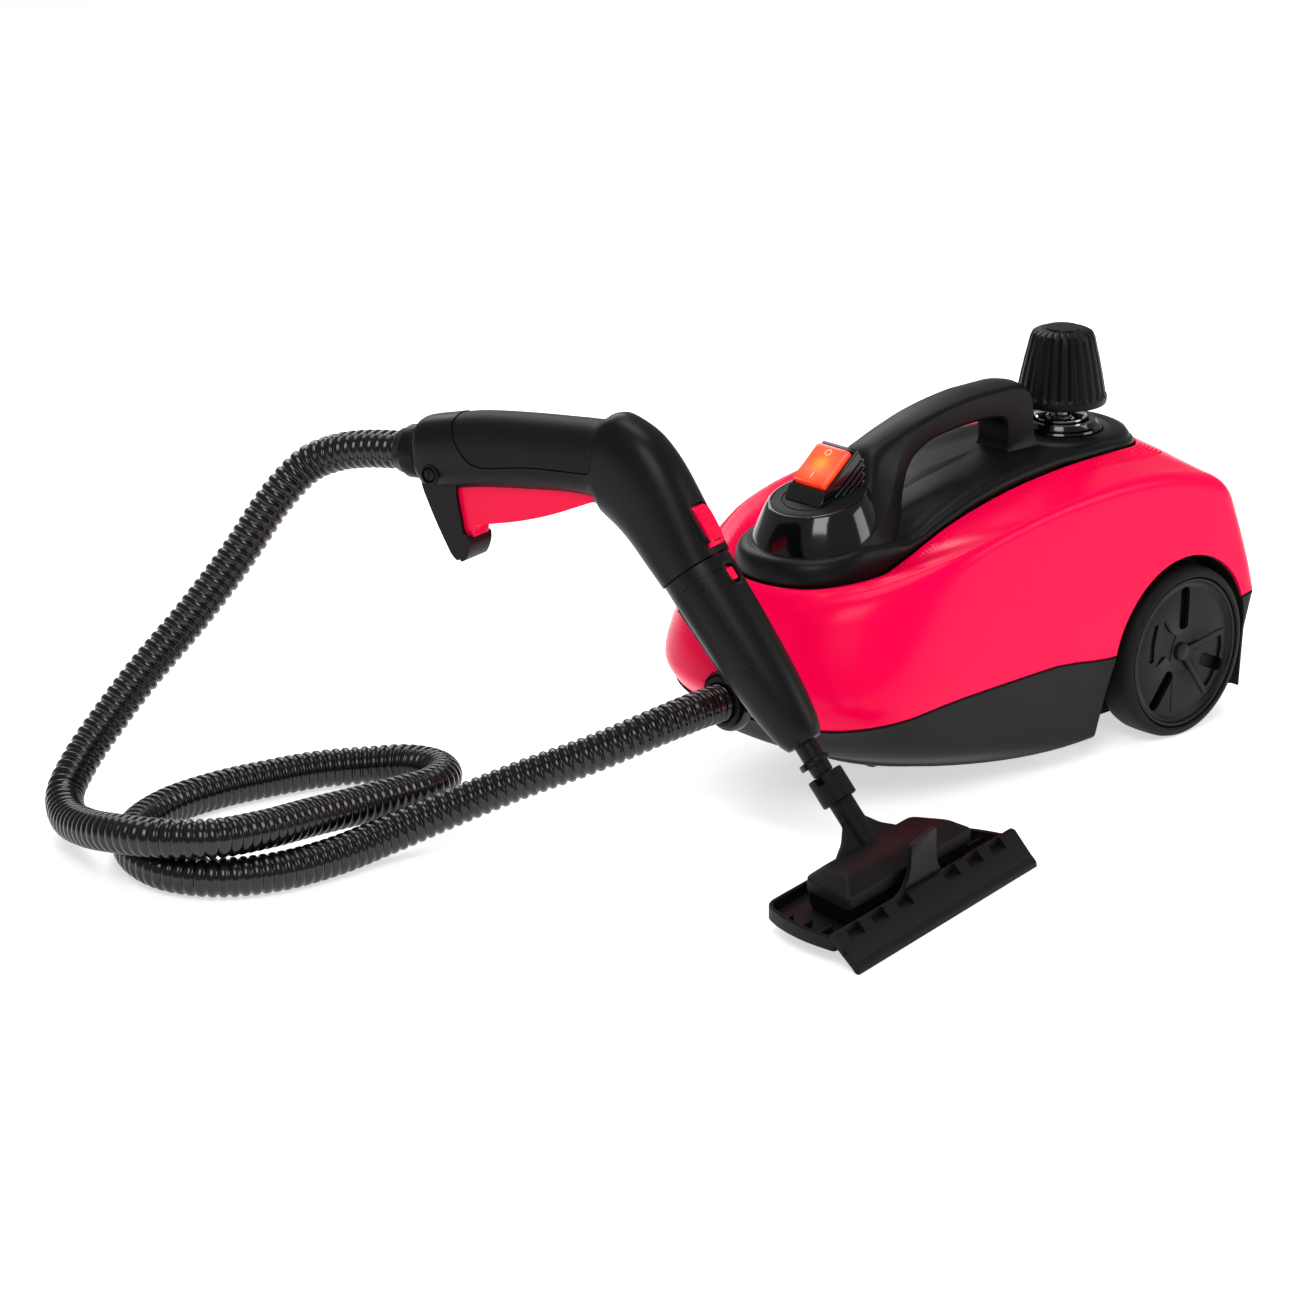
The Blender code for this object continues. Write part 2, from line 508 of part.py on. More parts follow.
# ---------------------------------------------------------------- machine: running gear
def running_gear():
    rod("rear_axle", STEEL, MACHINE, AXLE_R, 2 * WHEEL_FACE - 12, (AXLE_X, 0, WHEEL_R), (90, 0, 0), sides=24)
    half = WHEEL_WIDTH / 2
    rim = [(47, half - 2), (50.5, half - 1), (50.5, -half + 1), (46, -half + 1), (44, half - 7), (12, half - 7),
           (12, -half), (AXLE_R + GAP, -half), (AXLE_R + GAP, half - 4), (14, half - 4), (16, half - 3.5),
           (43, half - 3.5)]
    tread = WHEEL_R / cos(pi / TREAD_STEPS)
    tyre = [(51.3, half - 0.5), (56, half), (tread, half - 3), (tread, -half + 3), (56, -half), (51.3, -half + 0.5)]
    for name, side in (("right", -1), ("left", 1)):
        at = (AXLE_X, side * (WHEEL_FACE - half), WHEEL_R)
        turn = (-90 * side, 0, 0)
        wheel = turned(f"wheel_{name}", BLACK, MACHINE, rim, at, turn, 26, closed=True)
        for index in range(3):
            angle = 90 + 120 * index
            reach = (31 * cos(radians(angle)), 31 * sin(radians(angle)))
            slot = box(f"wheel_slot_{name}_{index}", BLACK, wheel, (-8, -2.6, -30), (8, 2.6, 30), (0, 0, angle))
            slot.location = (reach[0] * MM, reach[1] * MM, 0)
            cut(wheel, slot)
        turned(f"tyre_{name}", RUBBER, MACHINE, tyre, at, turn, TREAD_STEPS, closed=True)


def caster():
    frame = empty("caster_frame", MACHINE, (CASTER_X, 0, 0))
    fork = rod("caster_fork", BLACK, frame, 13, 5, (2, 0, 29.5), sides=20)
    trail = CASTER_TRAIL
    join(fork, rod("fork_stem", BLACK, frame, 4, 22, (0, 0, 40), sides=16),
         box("fork_cheek_a", BLACK, frame, (trail - 5, 7, 8), (trail + 4, 9.5, 30)),
         box("fork_cheek_b", BLACK, frame, (trail - 5, -9.5, 8), (trail + 4, -7, 30)))
    cut(fork, rod("fork_pin_hole", BLACK, frame, 1.5 + GAP / 2, 30, (trail, 0, CASTER_R), (90, 0, 0), sides=12))
    tread = CASTER_R / cos(pi / 18)
    roller = [(tread, 5), (tread, -5), (10, -6.5), (1.5 + GAP, -6.5), (1.5 + GAP, 6.5), (10, 6.5)]
    turned("caster_wheel", RUBBER, frame, roller, (trail, 0, CASTER_R), (90, 0, 0), 18, closed=True)
    rod("caster_pin", STEEL, frame, 1.5, 19, (trail, 0, CASTER_R), (90, 0, 0), sides=12)


# ---------------------------------------------------------------- handset
def section(y, z, angle, depth, half, power=2.3, sides=20):
    """One superellipse across the handset's spine, which heads along `angle` in its YZ plane."""
    points = []
    for i in range(sides):
        turn = 2 * pi * (i + 0.5) / sides
        across = half * abs(cos(turn)) ** (2 / power) * (1 if cos(turn) > 0 else -1)
        up = depth * abs(sin(turn)) ** (2 / power) * (1 if sin(turn) > 0 else -1)
        points.append((across, y - sin(radians(angle)) * up, z + cos(radians(angle)) * up))
    return points


# Spine of the handset from its joint up over the knee and back along the grip:
# y, z, heading, half depth, half thickness
SPINE = [(183.1, 186.4, 50.4, 22.4, 22.4), (194, 200, 52, 24.5, 22.2), (206, 215.5, 48, 27, 21.8),
         (219, 230, 38, 30, 21.3), (234, 241, 20, 32, 20.5), (246, 244.5, 6, 30, 20), (256, 244.5, -2, 25, 19.5),
         (275, 243.5, -5, 23.5, 19), (305, 240.5, -6, 24.2, 18.6), (340, 236, -8, 24.5, 18.5),
         (366, 230.6, -11, 24, 18.5), (381, 227.4, -9, 21.5, 17.5), (386.5, 226.4, -7, 17.5, 15.5)]
GUARD = [(384.5, 220), (384, 208), (372.6, 185), (360.4, 165), (355, 161.8), (350, 163.5), (347, 169),
         (345.5, 175), (346, 181), (351, 178), (358, 210), (352, 232)]
TRIGGER = [(357, 204.8), (351.5, 174.5), (346, 177), (345, 187), (310.6, 195.4), (286, 203.8),
           (253.5, 218.2), (247.6, 217.7), (240, 213), (243, 221), (252, 228), (256, 233), (262, 233),
           (300, 226), (336, 219), (358, 214)]
TRIGGER_BAY = [(236, 206.5), (247, 209.5), (286, 200), (342, 184.5), (343, 171.5), (349, 169.5), (353, 171),
               (366, 200), (366, 228), (336, 234), (300, 238), (262, 240), (250, 236), (242, 226)]


def on_lance(t, out=0.0):
    """Point in the handset's YZ plane at distance t up the lance and `out` towards its button side."""
    c, s = cos(radians(TUBE_TILT)), sin(radians(TUBE_TILT))
    return (0.0, TUBE_FOOT[0] + c * t - s * out, TUBE_FOOT[1] + s * t + c * out)


def lance_piece(name, look, profile, steps=24, closed=False):
    """A turned piece on the lance; profile heights are distances from the lance's foot."""
    return turned(name, look, LANCE, profile, steps=steps, closed=closed)


def handset_shells():
    shells = []
    for name, side in (("right", -1), ("left", 1)):
        shell = loft(f"gun_shell_{name}", BLACK, HANDSET, [section(*s) for s in SPINE])
        join(shell, slab(f"guard_{name}", BLACK, HANDSET, GUARD, -11, 11, bevel=1.5))
        inner = [(y, z, a, d - WALL, h - WALL) for y, z, a, d, h in SPINE[1:-1]]
        first, last = SPINE[0], SPINE[-1]
        ahead = (first[0] - 6, first[1] - 7, first[2], first[3] - WALL, first[4] - WALL)
        cut(shell, loft(f"gun_core_{name}", BLACK, HANDSET, [section(*s) for s in [ahead, *inner]]),
            slab(f"trigger_bay_{name}", BLACK, HANDSET, TRIGGER_BAY, -8.8, 8.8),
            rod(f"cuff_hole_{name}", BLACK, HANDSET, 12.4, 30, (0, 386.5, 226.4), (-97, 0, 0)),
            slab(f"grip_recess_{name}", BLACK, HANDSET, GRIP_BED, -30, 30))
        low, high = sorted((GAP / 2 * side, -40 * side))
        cut(shell, box(f"half_cut_{name}", BLACK, HANDSET, (low, 100, 100), (high, 450, 330)))
        cut(shell, box(f"latch_slot_{name}", BLACK, LANCE, (-7.6, -32, 198), (7.6, -14, 226)))
        shells.append(shell)
    cut(shells[0], rod("lock_hole", BLACK, HANDSET, 5.1, 20, (-16, 371.6, 218), (0, 90, 0)))
    for index, (face, y, z) in enumerate(GUN_SCREWS):
        for shell in shells:
            cut(shell, rod(f"gun_screw_hole_{index}_{shell.name}", BLACK, HANDSET, 1.4 + GAP, 2 * face,
                           (1, y, z), (0, 90, 0), sides=8))
        cut(shells[1], rod(f"gun_counterbore_{index}", BLACK, HANDSET, 2.8 + GAP, 8, (face + 1.7, y, z),
                           (0, 90, 0), sides=12))


GRIP_BED = [(358, 300), (358.4, 253), (352.5, 241), (342, 229.5), (332, 228), (295, 235), (250, 238.5),
            (247, 243), (246.5, 262), (242, 280)]
GUN_SCREWS = [(11, 378, 200), (20.5, 212, 206)]  # outer face x, then y and z


def grip():
    """Soft insert that wraps the top and sides of the grip."""
    grown = [(y, z, a, d, h) for y, z, a, d, h in SPINE[4:11]]
    pad = loft("grip_insert", SOFT, HANDSET, [section(*s) for s in grown])
    core = [(y, z, a, d - WALL - GAP, h - WALL - GAP) for y, z, a, d, h in SPINE[4:11]]
    core[0] = (224, 238, *core[0][2:])
    core[-1] = (374, 229, *core[-1][2:])
    bed = slab("grip_bed", SOFT, HANDSET, [(y * 0.99 + 3, z * 0.985 + 4.2) for y, z in GRIP_BED], -30, 30)
    combine(pad, bed, "INTERSECT")
    cut(pad, loft("grip_core", SOFT, HANDSET, [section(*s) for s in core]))
    return pad


def handset_inner():
    y, z = TRIGGER_PIVOT
    trigger = slab("trigger", RED, HANDSET, [(a - y, b - z) for a, b in TRIGGER], -8, 8, bevel=1.5, at=(0, y, z))
    cut(trigger, rod("trigger_pin_hole", RED, HANDSET, 2 + GAP / 2, 30, (0, y, z), (0, 90, 0), sides=16))
    rod("trigger_pin", STEEL, HANDSET, 2, 26, (0, y, z), (0, 90, 0), sides=16)
    tube("trigger_spring", STEEL, HANDSET, helix(3.4, 219.9, 232.6, 3), 0.6, 1, at=(0, 338, 0))
    box("microswitch", SOFT, HANDSET, (-3.5, 288, 236), (3.5, 308, 246), bevel=0.5)
    rod("lock_button", BLACK, HANDSET, 4.8, 6, (-15.8, 371.6, 218), (0, 90, 0), sides=20)
    hose_line = [(0, 384.5, 226.6), (0, 370, 229.5), (0, 352, 240), (0, 330, 249), (0, 280, 252), (0, 245, 248), (0, 222, 232),
                 (0, 210, 219)]
    tube("gun_pipe", RUBBER, HANDSET, smooth_line(hose_line, 3), 4.5, 2)
    cuff = [(13.6, 18), (14.2, 12.5), (16.2, 11), (16.6, 2), (15.8, 0), (12, 0), (12, -9), (9, -9), (9, 18)]
    turned("hose_cuff", BLACK, HANDSET, cuff, (0, 387, 226.3), (-97, 0, 0), 20, closed=True)
    for index, (face, y, z) in enumerate(GUN_SCREWS, start=1):
        turned(f"gun_screw_{index}", STEEL, HANDSET,
               [(0, 2), (2.8, 2), (2.8, 0), (1.4, 0), (1.4, -17), (0, -17)], (face - 2, y, z), (0, 90, 0), steps=8)


def latch():
    """Release button on the neck, its arm and the nub that holds the lance."""
    low = LATCH_PIVOT_T
    n = LATCH_PIVOT_N
    pivot = empty("latch_pivot", LANCE, (0, -n, low))
    button = box("release_latch", RED, pivot, (-7, -(28.5 - n), 1.5), (7, -1, 23), bevel=1.5, origin=(0, 0, 0))
    join(button, box("latch_arm", RED, pivot, (-4, -2, -26), (4, 1.5, 4), origin=(0, 0, 0)),
         box("latch_nub", RED, pivot, (-3.4, -(22.2 - n), -26), (3.4, 0, -17), origin=(0, 0, 0)))
    cut(button, rod("latch_pin_hole", RED, pivot, 1.3 + GAP / 2, 30, (0, 0, 0), (0, 90, 0), sides=12))
    rod("latch_pin", STEEL, pivot, 1.3, 20, (0, 0, 0), (0, 90, 0), sides=12)


def lance_parts():
    spigot = [(19.6, 197), (19.6, 194), (18.6, 194), (18.6, 160), (15.5, 158), (5.5, 158), (5.5, 163), (15, 165), (15, 197)]
    piece = lance_piece("outlet_spigot", BLACK, spigot, closed=True)
    cut(piece, box("spigot_slot", BLACK, LANCE, (-5, -25, 171), (5, -10, 210)))
    lance_piece("outlet_seal", RUBBER, [(19.5, 167.6), (19.5, 165.4), (18.9, 165.4), (18.9, 167.6)], closed=True)
    outer = [(22.4, JOINT_T - GAP), (21.9, 165), (20.4, 125), (18.5, 100), (15.5, 80), (12.4, 70.5), (10.5, 68.5)]
    inner = [(7.2, 68.5), (7.2, 74), (12.5, 82), (16, 100), (18, 125), (19.7, 160), (20, JOINT_T - GAP)]
    adapter = lance_piece("adapter_tube", BLACK, outer + inner, closed=True)
    cut(adapter, box("nub_slot", BLACK, LANCE, (-4.4, -30, 172), (4.4, -14, 185)),
        box("arm_relief", BLACK, LANCE, (-4.7, -21.2, 184), (4.7, -14, 194)))
    nozzle = [(7, 157), (7, 47.4), (5.6, 47), (5.6, 36), (3, 36), (3, 157)]
    lance_piece("jet_nozzle", BLACK, nozzle, 20, closed=True)
    return adapter


def brush():
    cover_low = [(-64, 25), (64, 25), (76, 37), (76, 58), (60, 69), (-60, 69), (-76, 58), (-76, 37)]
    def level(shrink, z):
        return [(x * (1 - shrink / 76), 47 + (y - 47) * (1 - shrink / 22), z) for x, y in cover_low]
    cover = loft("brush_cover", BLACK, HANDSET, [level(0, 22.2), level(0, 30), level(8, 37)], smooth=30)
    cut(cover, loft("cover_hollow", BLACK, HANDSET, [level(2.4, 19), level(2.4, 29), level(9.5, 34.4)]))
    join(cover, lance_piece("brush_stem", BLACK, [(0, 36), (7.6, 36), (8, 10), (11, 0), (15, -6), (0, -6)], 24),
         lance_piece("bayonet_collar", BLACK, [(0, 46.5), (10.8, 46.5), (11.4, 45.8), (11.4, 28.8), (10.8, 28), (0, 28)], 28))
    cut(cover, lance_piece("collar_bore", BLACK, [(0, 60), (5.9, 60), (5.9, 33), (0, 33)], 24),
        lance_piece("steam_bore", BLACK, [(0, 40), (3, 40), (3, -9), (0, -9)], 16))
    sole = loft("brush_base", BLACK, HANDSET, [level(1.5, 9), level(0.5, 14), level(0, 22 - GAP / 2)], smooth=30)
    cut(sole, loft("base_tray", BLACK, HANDSET, [level(3.5, 12), level(3, 30)]))
    for index in range(7):
        cut(sole, rod(f"steam_hole_{index}", BLACK, HANDSET, 1.6, 20, (-54 + 18 * index, 47, 10), sides=8))


def squeegee():
    plan = [(-101, 17), (101, 17), (98, 40), (90, 62), (78, 80), (-78, 80), (-90, 62), (-98, 40)]
    inside = [(x * 0.965, 46 + (y - 46) * 0.86) for x, y in plan]
    frame = loft("squeegee_frame", BLACK, HANDSET, [[(x, y, 5) for x, y in plan], [(x, y, 18) for x, y in plan]])
    cut(frame, loft("frame_tray", BLACK, HANDSET, [[(x, y, 8.3) for x, y in inside], [(x, y, 30) for x, y in inside]]))
    blade = [(1.6, 6.2), (14.8, 20.8), (18.5, 20.8), (18.5, 17), (4.4, 3.6)]
    join(frame, slab("blade_plate", BLACK, HANDSET, blade, -BLADE_HALF, BLADE_HALF))
    tongue = [(-30, 16), (30, 16), (18, 21), (14, 30), (13.6, 46), (-13.6, 46), (-14, 30), (-18, 21)]
    join(frame, slab("frame_tongue", BLACK, HANDSET, tongue, -1.4, 1.4, "XZ", at=(0, 19.5, 0)))
    for index in range(6):
        x = -82.5 + 33 * index
        cut(frame, box(f"frame_slot_{index}", BLACK, HANDSET, (x - 6, 8, 15.2), (x + 6, 16.4, 19.4)))
    lip = [(1.2, 5.9), (-0.9, 3.4), (-1.6, 0.2), (0, 0), (1.0, 0.2), (4.0, 3.2)]
    slab("squeegee_lip", RUBBER, HANDSET, lip, -BLADE_HALF, BLADE_HALF)


# ---------------------------------------------------------------- assembly
BASE_SCREWS = [(-120, -60), (-120, 60), (75, -35), (75, 35)]

clear_scene()
PARTS = collection("steam_cleaner")
CUTTERS = collection("cutters")
MACHINE = empty("machine_frame", None, MACHINE_AT)
HANDSET = empty("handset_frame", MACHINE, HANDSET_AT, (0, 0, HANDSET_TURN))
LANCE = empty("lance_frame", HANDSET, (0, *TUBE_FOOT), (TUBE_TILT - 90, 0, 0))

lower_base()
upper_shell()
top_panel()
switch_dome()
carry_handle()
switch_parts()
boiler_parts()
filler_cap()
inner_parts()
running_gear()
caster()
tube("hose", GLOSS, MACHINE, smooth_line(HOSE_ROUTE, 2)[:-1] + [HOSE_ROUTE[-1]], HOSE_R, 2)
handset_shells()
grip()
handset_inner()
latch()
lance_parts()
brush()
squeegee()
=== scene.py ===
"""Steam cleaner, looks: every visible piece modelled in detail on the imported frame. Sizes in mm."""
from math import asin, cos, hypot, pi, radians, sin

import bmesh
import bpy
from mathutils import Matrix, Vector
from mathutils.bvhtree import BVHTree


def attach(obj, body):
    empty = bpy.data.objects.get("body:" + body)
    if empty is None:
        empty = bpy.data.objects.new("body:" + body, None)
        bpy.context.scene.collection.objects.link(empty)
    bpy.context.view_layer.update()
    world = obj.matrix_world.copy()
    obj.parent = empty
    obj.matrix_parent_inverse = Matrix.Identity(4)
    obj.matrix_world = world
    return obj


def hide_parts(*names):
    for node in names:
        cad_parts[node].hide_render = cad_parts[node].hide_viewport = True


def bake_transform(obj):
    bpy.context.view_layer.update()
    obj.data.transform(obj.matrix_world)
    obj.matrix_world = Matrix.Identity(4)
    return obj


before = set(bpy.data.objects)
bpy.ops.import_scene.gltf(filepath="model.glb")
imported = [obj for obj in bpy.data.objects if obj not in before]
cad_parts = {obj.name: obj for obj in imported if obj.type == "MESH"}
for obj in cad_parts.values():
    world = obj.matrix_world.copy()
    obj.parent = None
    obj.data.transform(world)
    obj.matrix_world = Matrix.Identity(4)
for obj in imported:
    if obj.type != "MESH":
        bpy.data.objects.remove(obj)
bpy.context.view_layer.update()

MM = 0.001
MACHINE_AT = (164.4, 29.3, 0.0)
HANDSET_AT, HANDSET_TURN = (-330.1, -216.7, 0.0), 12.476
LANCE_FOOT, LANCE_TILT = (0.0, 59.7, 37.2), 50.4
HOSE_R, RIB_PITCH = 12.3, 6.3
SOCKET_Z = 76.0
WHEEL_R, WHEEL_FACE, AXLE_X = 58.0, 103.0, 17.0
ARCH_R, ARCH_FOOT = 66.0, (-72.0, 79.0)
DOME_X, DOME_TILT = -228.0, 12.0
ROCKER_AT, ROCKER_TILT = (-221.0, 209.4), 38.9
GRIP_GROOVES = 24
WALL = 2.4
SOCKET_X, SOCKET_R, SOCKET_RING_R = -309.0, 16.3, 19.8
CASTER_X, CASTER_WELL = -184.0, 22.5
LINER_IN, LINER_OUT = 67.6, 95.8
BAY_HALF, BLADE_HALF = 8.8, 103

MACHINE = Matrix.Scale(MM, 4) @ Matrix.Translation(MACHINE_AT)
HANDSET = MACHINE @ Matrix.Translation(HANDSET_AT) @ Matrix.Rotation(radians(HANDSET_TURN), 4, "Z")
LANCE = HANDSET @ Matrix.Translation(LANCE_FOOT) @ Matrix.Rotation(radians(LANCE_TILT - 90), 4, "X")


# ---------------------------------------------------------------- materials
def node_material(name, colour, roughness, metallic=0.0, grain=900.0, depth=0.00003, wave=0.05,
                  coat=0.0, specular=0.5, patch=25.0):
    """Moulded surface: fine grain as bump, and slow changes of roughness."""
    made = bpy.data.materials.new(name)
    made.use_nodes = True
    nodes, links = made.node_tree.nodes, made.node_tree.links
    shader = nodes["Principled BSDF"]
    shader.inputs["Base Color"].default_value = (*colour, 1.0)
    shader.inputs["Metallic"].default_value = metallic
    shader.inputs["Coat Weight"].default_value = coat
    shader.inputs["Coat Roughness"].default_value = 0.08
    shader.inputs["Specular IOR Level"].default_value = specular
    place = nodes.new("ShaderNodeTexCoord")
    fine = nodes.new("ShaderNodeTexNoise")
    fine.inputs["Scale"].default_value = grain
    fine.inputs["Detail"].default_value = 3.0
    bump = nodes.new("ShaderNodeBump")
    bump.inputs["Strength"].default_value = 0.6
    bump.inputs["Distance"].default_value = depth
    slow = nodes.new("ShaderNodeTexNoise")
    slow.inputs["Scale"].default_value = patch
    slow.inputs["Detail"].default_value = 4.0
    spread = nodes.new("ShaderNodeMapRange")
    spread.inputs["To Min"].default_value = max(0.02, roughness - wave)
    spread.inputs["To Max"].default_value = roughness + wave
    links.new(place.outputs["Object"], fine.inputs["Vector"])
    links.new(place.outputs["Object"], slow.inputs["Vector"])
    links.new(fine.outputs["Fac"], bump.inputs["Height"])
    links.new(bump.outputs["Normal"], shader.inputs["Normal"])
    links.new(slow.outputs["Fac"], spread.inputs["Value"])
    links.new(spread.outputs["Result"], shader.inputs["Roughness"])
    made.diffuse_color = (*colour, 1.0)
    return made


def lit_material():
    """Translucent rocker with a lamp behind its middle."""
    made = node_material("rocker_lit", (0.95, 0.07, 0.02), 0.22, grain=500, coat=0.5)
    nodes, links = made.node_tree.nodes, made.node_tree.links
    shader = nodes["Principled BSDF"]
    middle = (MACHINE @ Vector((ROCKER_AT[0] - 5, 0, ROCKER_AT[1] + 6.5)))
    place = nodes.new("ShaderNodeTexCoord")
    away = nodes.new("ShaderNodeVectorMath")
    away.operation = "DISTANCE"
    away.inputs[1].default_value = middle
    share = nodes.new("ShaderNodeMapRange")
    share.inputs["From Max"].default_value = 0.017
    ramp = nodes.new("ShaderNodeValToRGB")
    ramp.color_ramp.elements[0].color = (1.0, 0.42, 0.02, 1)
    ramp.color_ramp.elements[1].color = (0.55, 0.012, 0.004, 1)
    ramp.color_ramp.elements.new(0.45).color = (1.0, 0.10, 0.012, 1)
    links.new(place.outputs["Object"], away.inputs[0])
    links.new(away.outputs["Value"], share.inputs["Value"])
    links.new(share.outputs["Result"], ramp.inputs["Fac"])
    links.new(ramp.outputs["Color"], shader.inputs["Emission Color"])
    shader.inputs["Emission Strength"].default_value = 0.9
    return made


RED = node_material("red_gloss", (1.0, 0.0, 0.07), 0.22, grain=260, depth=0.00001, specular=0.08, patch=9)
RED_TRIM = node_material("red_trim", (0.95, 0.0, 0.055), 0.3, grain=700, depth=0.00002, specular=0.15)
BLACK = node_material("black_satin", (0.005, 0.005, 0.0053), 0.38, grain=1500, depth=0.00006, specular=0.13)
HULL = node_material("hull_grained", (0.009, 0.009, 0.0093), 0.5, grain=1300, depth=0.0001, specular=0.12)
GLOSS = node_material("black_gloss", (0.002, 0.002, 0.0023), 0.1, grain=200, depth=0.000008, wave=0.03,
                      specular=0.5)
GUN = node_material("gun_satin", (0.005, 0.005, 0.0053), 0.36, grain=1400, depth=0.00007, specular=0.15)
SOFT = node_material("soft_touch", (0.007, 0.007, 0.0073), 0.5, grain=1900, depth=0.00008, specular=0.12)
HEAD = node_material("brush_grained", (0.006, 0.006, 0.0063), 0.5, grain=1100, depth=0.0001, specular=0.1)
RUBBER = node_material("rubber", (0.005, 0.005, 0.005), 0.6, grain=1000, depth=0.0001, specular=0.14)
HOSE = node_material("hose_gloss", (0.003, 0.003, 0.0033), 0.18, grain=350, depth=0.00002, specular=0.45)
CHROME = node_material("chrome", (0.82, 0.82, 0.83), 0.1, 1.0, grain=400, depth=0.000006, wave=0.04)
STEEL = node_material("steel", (0.5, 0.5, 0.52), 0.32, 1.0, grain=900)
ALLOY = node_material("cast_alloy", (0.52, 0.53, 0.54), 0.5, 1.0, grain=450, depth=0.0001)
BRASS = node_material("brass", (0.62, 0.42, 0.16), 0.3, 1.0, grain=700)
CREAM = node_material("ceramic", (0.72, 0.68, 0.56), 0.6, grain=800)
MARK = node_material("mark_pale", (0.9, 0.62, 0.5), 0.4, grain=900)
LAMP = lit_material()


# ---------------------------------------------------------------- mesh tools
def piece(name, bm, place, body, look, stands_for=(), smooth=35):
    """A finished piece from a bmesh in mm, set in the row frame and riding on a body."""
    bmesh.ops.recalc_face_normals(bm, faces=bm.faces[:])
    mesh = bpy.data.meshes.new(name)
    bm.to_mesh(mesh)
    bm.free()
    mesh.transform(place)
    made = bpy.data.objects.new(name, mesh)
    bpy.context.scene.collection.objects.link(made)
    mesh.materials.append(look)
    mesh.shade_smooth()
    mesh.set_sharp_from_angle(angle=radians(smooth))
    if body:
        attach(made, body)
    if stands_for:
        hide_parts(*stands_for)
    return made


def shape(bm, place=None):
    """A tool for carving, in the row frame."""
    bmesh.ops.recalc_face_normals(bm, faces=bm.faces[:])
    mesh = bpy.data.meshes.new("tool")
    bm.to_mesh(mesh)
    bm.free()
    if place is not None:
        mesh.transform(place)
    made = bpy.data.objects.new("tool", mesh)
    bpy.context.scene.collection.objects.link(made)
    return made


def carve(target, tools, operation="DIFFERENCE", smooth=35):
    """Apply Booleans with throw-away tools."""
    for tool in tools:
        step = target.modifiers.new("step", "BOOLEAN")
        step.operation = operation
        step.solver = "EXACT"
        step.object = tool
    bpy.context.view_layer.update()
    graph = bpy.context.evaluated_depsgraph_get()
    mesh = bpy.data.meshes.new_from_object(target.evaluated_get(graph))
    target.modifiers.clear()
    look = target.data.materials[0]
    target.data = mesh
    mesh.materials.clear()
    mesh.materials.append(look)
    mesh.polygons.foreach_set("material_index", [0] * len(mesh.polygons))
    mesh.shade_smooth()
    mesh.set_sharp_from_angle(angle=radians(smooth))
    for tool in tools:
        bpy.data.objects.remove(tool)
    return target


def along(x, table):
    """Smooth monotone curve through (x, value) pairs."""
    xs, ys = [row[0] for row in table], [row[1] for row in table]
    if x <= xs[0]:
        return ys[0]
    if x >= xs[-1]:
        return ys[-1]
    slopes = [(ys[i + 1] - ys[i]) / (xs[i + 1] - xs[i]) for i in range(len(xs) - 1)]
    bends = [slopes[0]]
    for before, after in zip(slopes, slopes[1:]):
        bends.append(0 if before * after <= 0 else 2 * before * after / (before + after))
    bends.append(slopes[-1])
    i = max(k for k in range(len(slopes)) if xs[k] <= x)
    h = xs[i + 1] - xs[i]
    t = (x - xs[i]) / h
    return ((1 + 2 * t) * (1 - t) ** 2 * ys[i] + t * (1 - t) ** 2 * h * bends[i]
            + t * t * (3 - 2 * t) * ys[i + 1] + t * t * (t - 1) * h * bends[i + 1])


def loft(rings, closed=False, caps=True):
    """A skin over rings that all have the same number of points."""
    bm = bmesh.new()
    loops = [[bm.verts.new(p) for p in ring] for ring in rings]
    for first, second in zip(loops, loops[1:] + (loops[:1] if closed else [])):
        count = len(first)
        for i in range(count):
            j = (i + 1) % count
            bm.faces.new((first[i], first[j], second[j], second[i]))
    if caps and not closed:
        bm.faces.new(loops[0][::-1])
        bm.faces.new(loops[-1])
    return bm


def extrude(outline, low, high, plane="YZ", bevel=0.0, segments=3):
    """A flat outline given thickness, its rims rounded."""
    axes = {"YZ": (1, 2, 0), "XZ": (0, 2, 1), "XY": (0, 1, 2)}[plane]
    loops = []
    for depth in (low, high):
        loop = []
        for a, b in outline:
            point = [0.0, 0.0, 0.0]
            point[axes[0]], point[axes[1]], point[axes[2]] = a, b, depth
            loop.append(point)
        loops.append(loop)
    bm = loft(loops)
    if bevel:
        rim = [e for e in bm.edges if len({round(v.co[axes[2]], 4) for v in e.verts}) == 1]
        bmesh.ops.bevel(bm, geom=rim, offset=bevel, segments=segments, affect="EDGES", profile=0.5)
    return bm


def block(low, high, bevel=0.0):
    """A box between two corners, its edges rounded."""
    bm = bmesh.new()
    bmesh.ops.create_cube(bm, size=1.0)
    for vert in bm.verts:
        for axis in range(3):
            vert.co[axis] = vert.co[axis] * (high[axis] - low[axis]) + (low[axis] + high[axis]) / 2
    if bevel:
        bmesh.ops.bevel(bm, geom=bm.edges[:], offset=bevel, segments=3, affect="EDGES", profile=0.5)
    return bm


def turned(profile, steps=64, closed=False, wave=None, at=(0, 0, 0), turn=None):
    """A (radius, height) profile spun about Z; wave changes the radius with the angle."""
    rings = []
    for r, z in profile:
        ring = []
        for i in range(steps):
            a = 2 * pi * i / steps
            reach = wave(r, z, a) if wave else r
            ring.append((reach * cos(a), reach * sin(a), z))
        rings.append(ring)
    bm = loft(rings, closed=closed, caps=not closed)
    if not closed:
        bmesh.ops.remove_doubles(bm, verts=bm.verts[:], dist=0.0001)
    place = Matrix.Translation(at) @ (turn or Matrix.Identity(4))
    bmesh.ops.transform(bm, matrix=place, verts=bm.verts[:])
    return bm


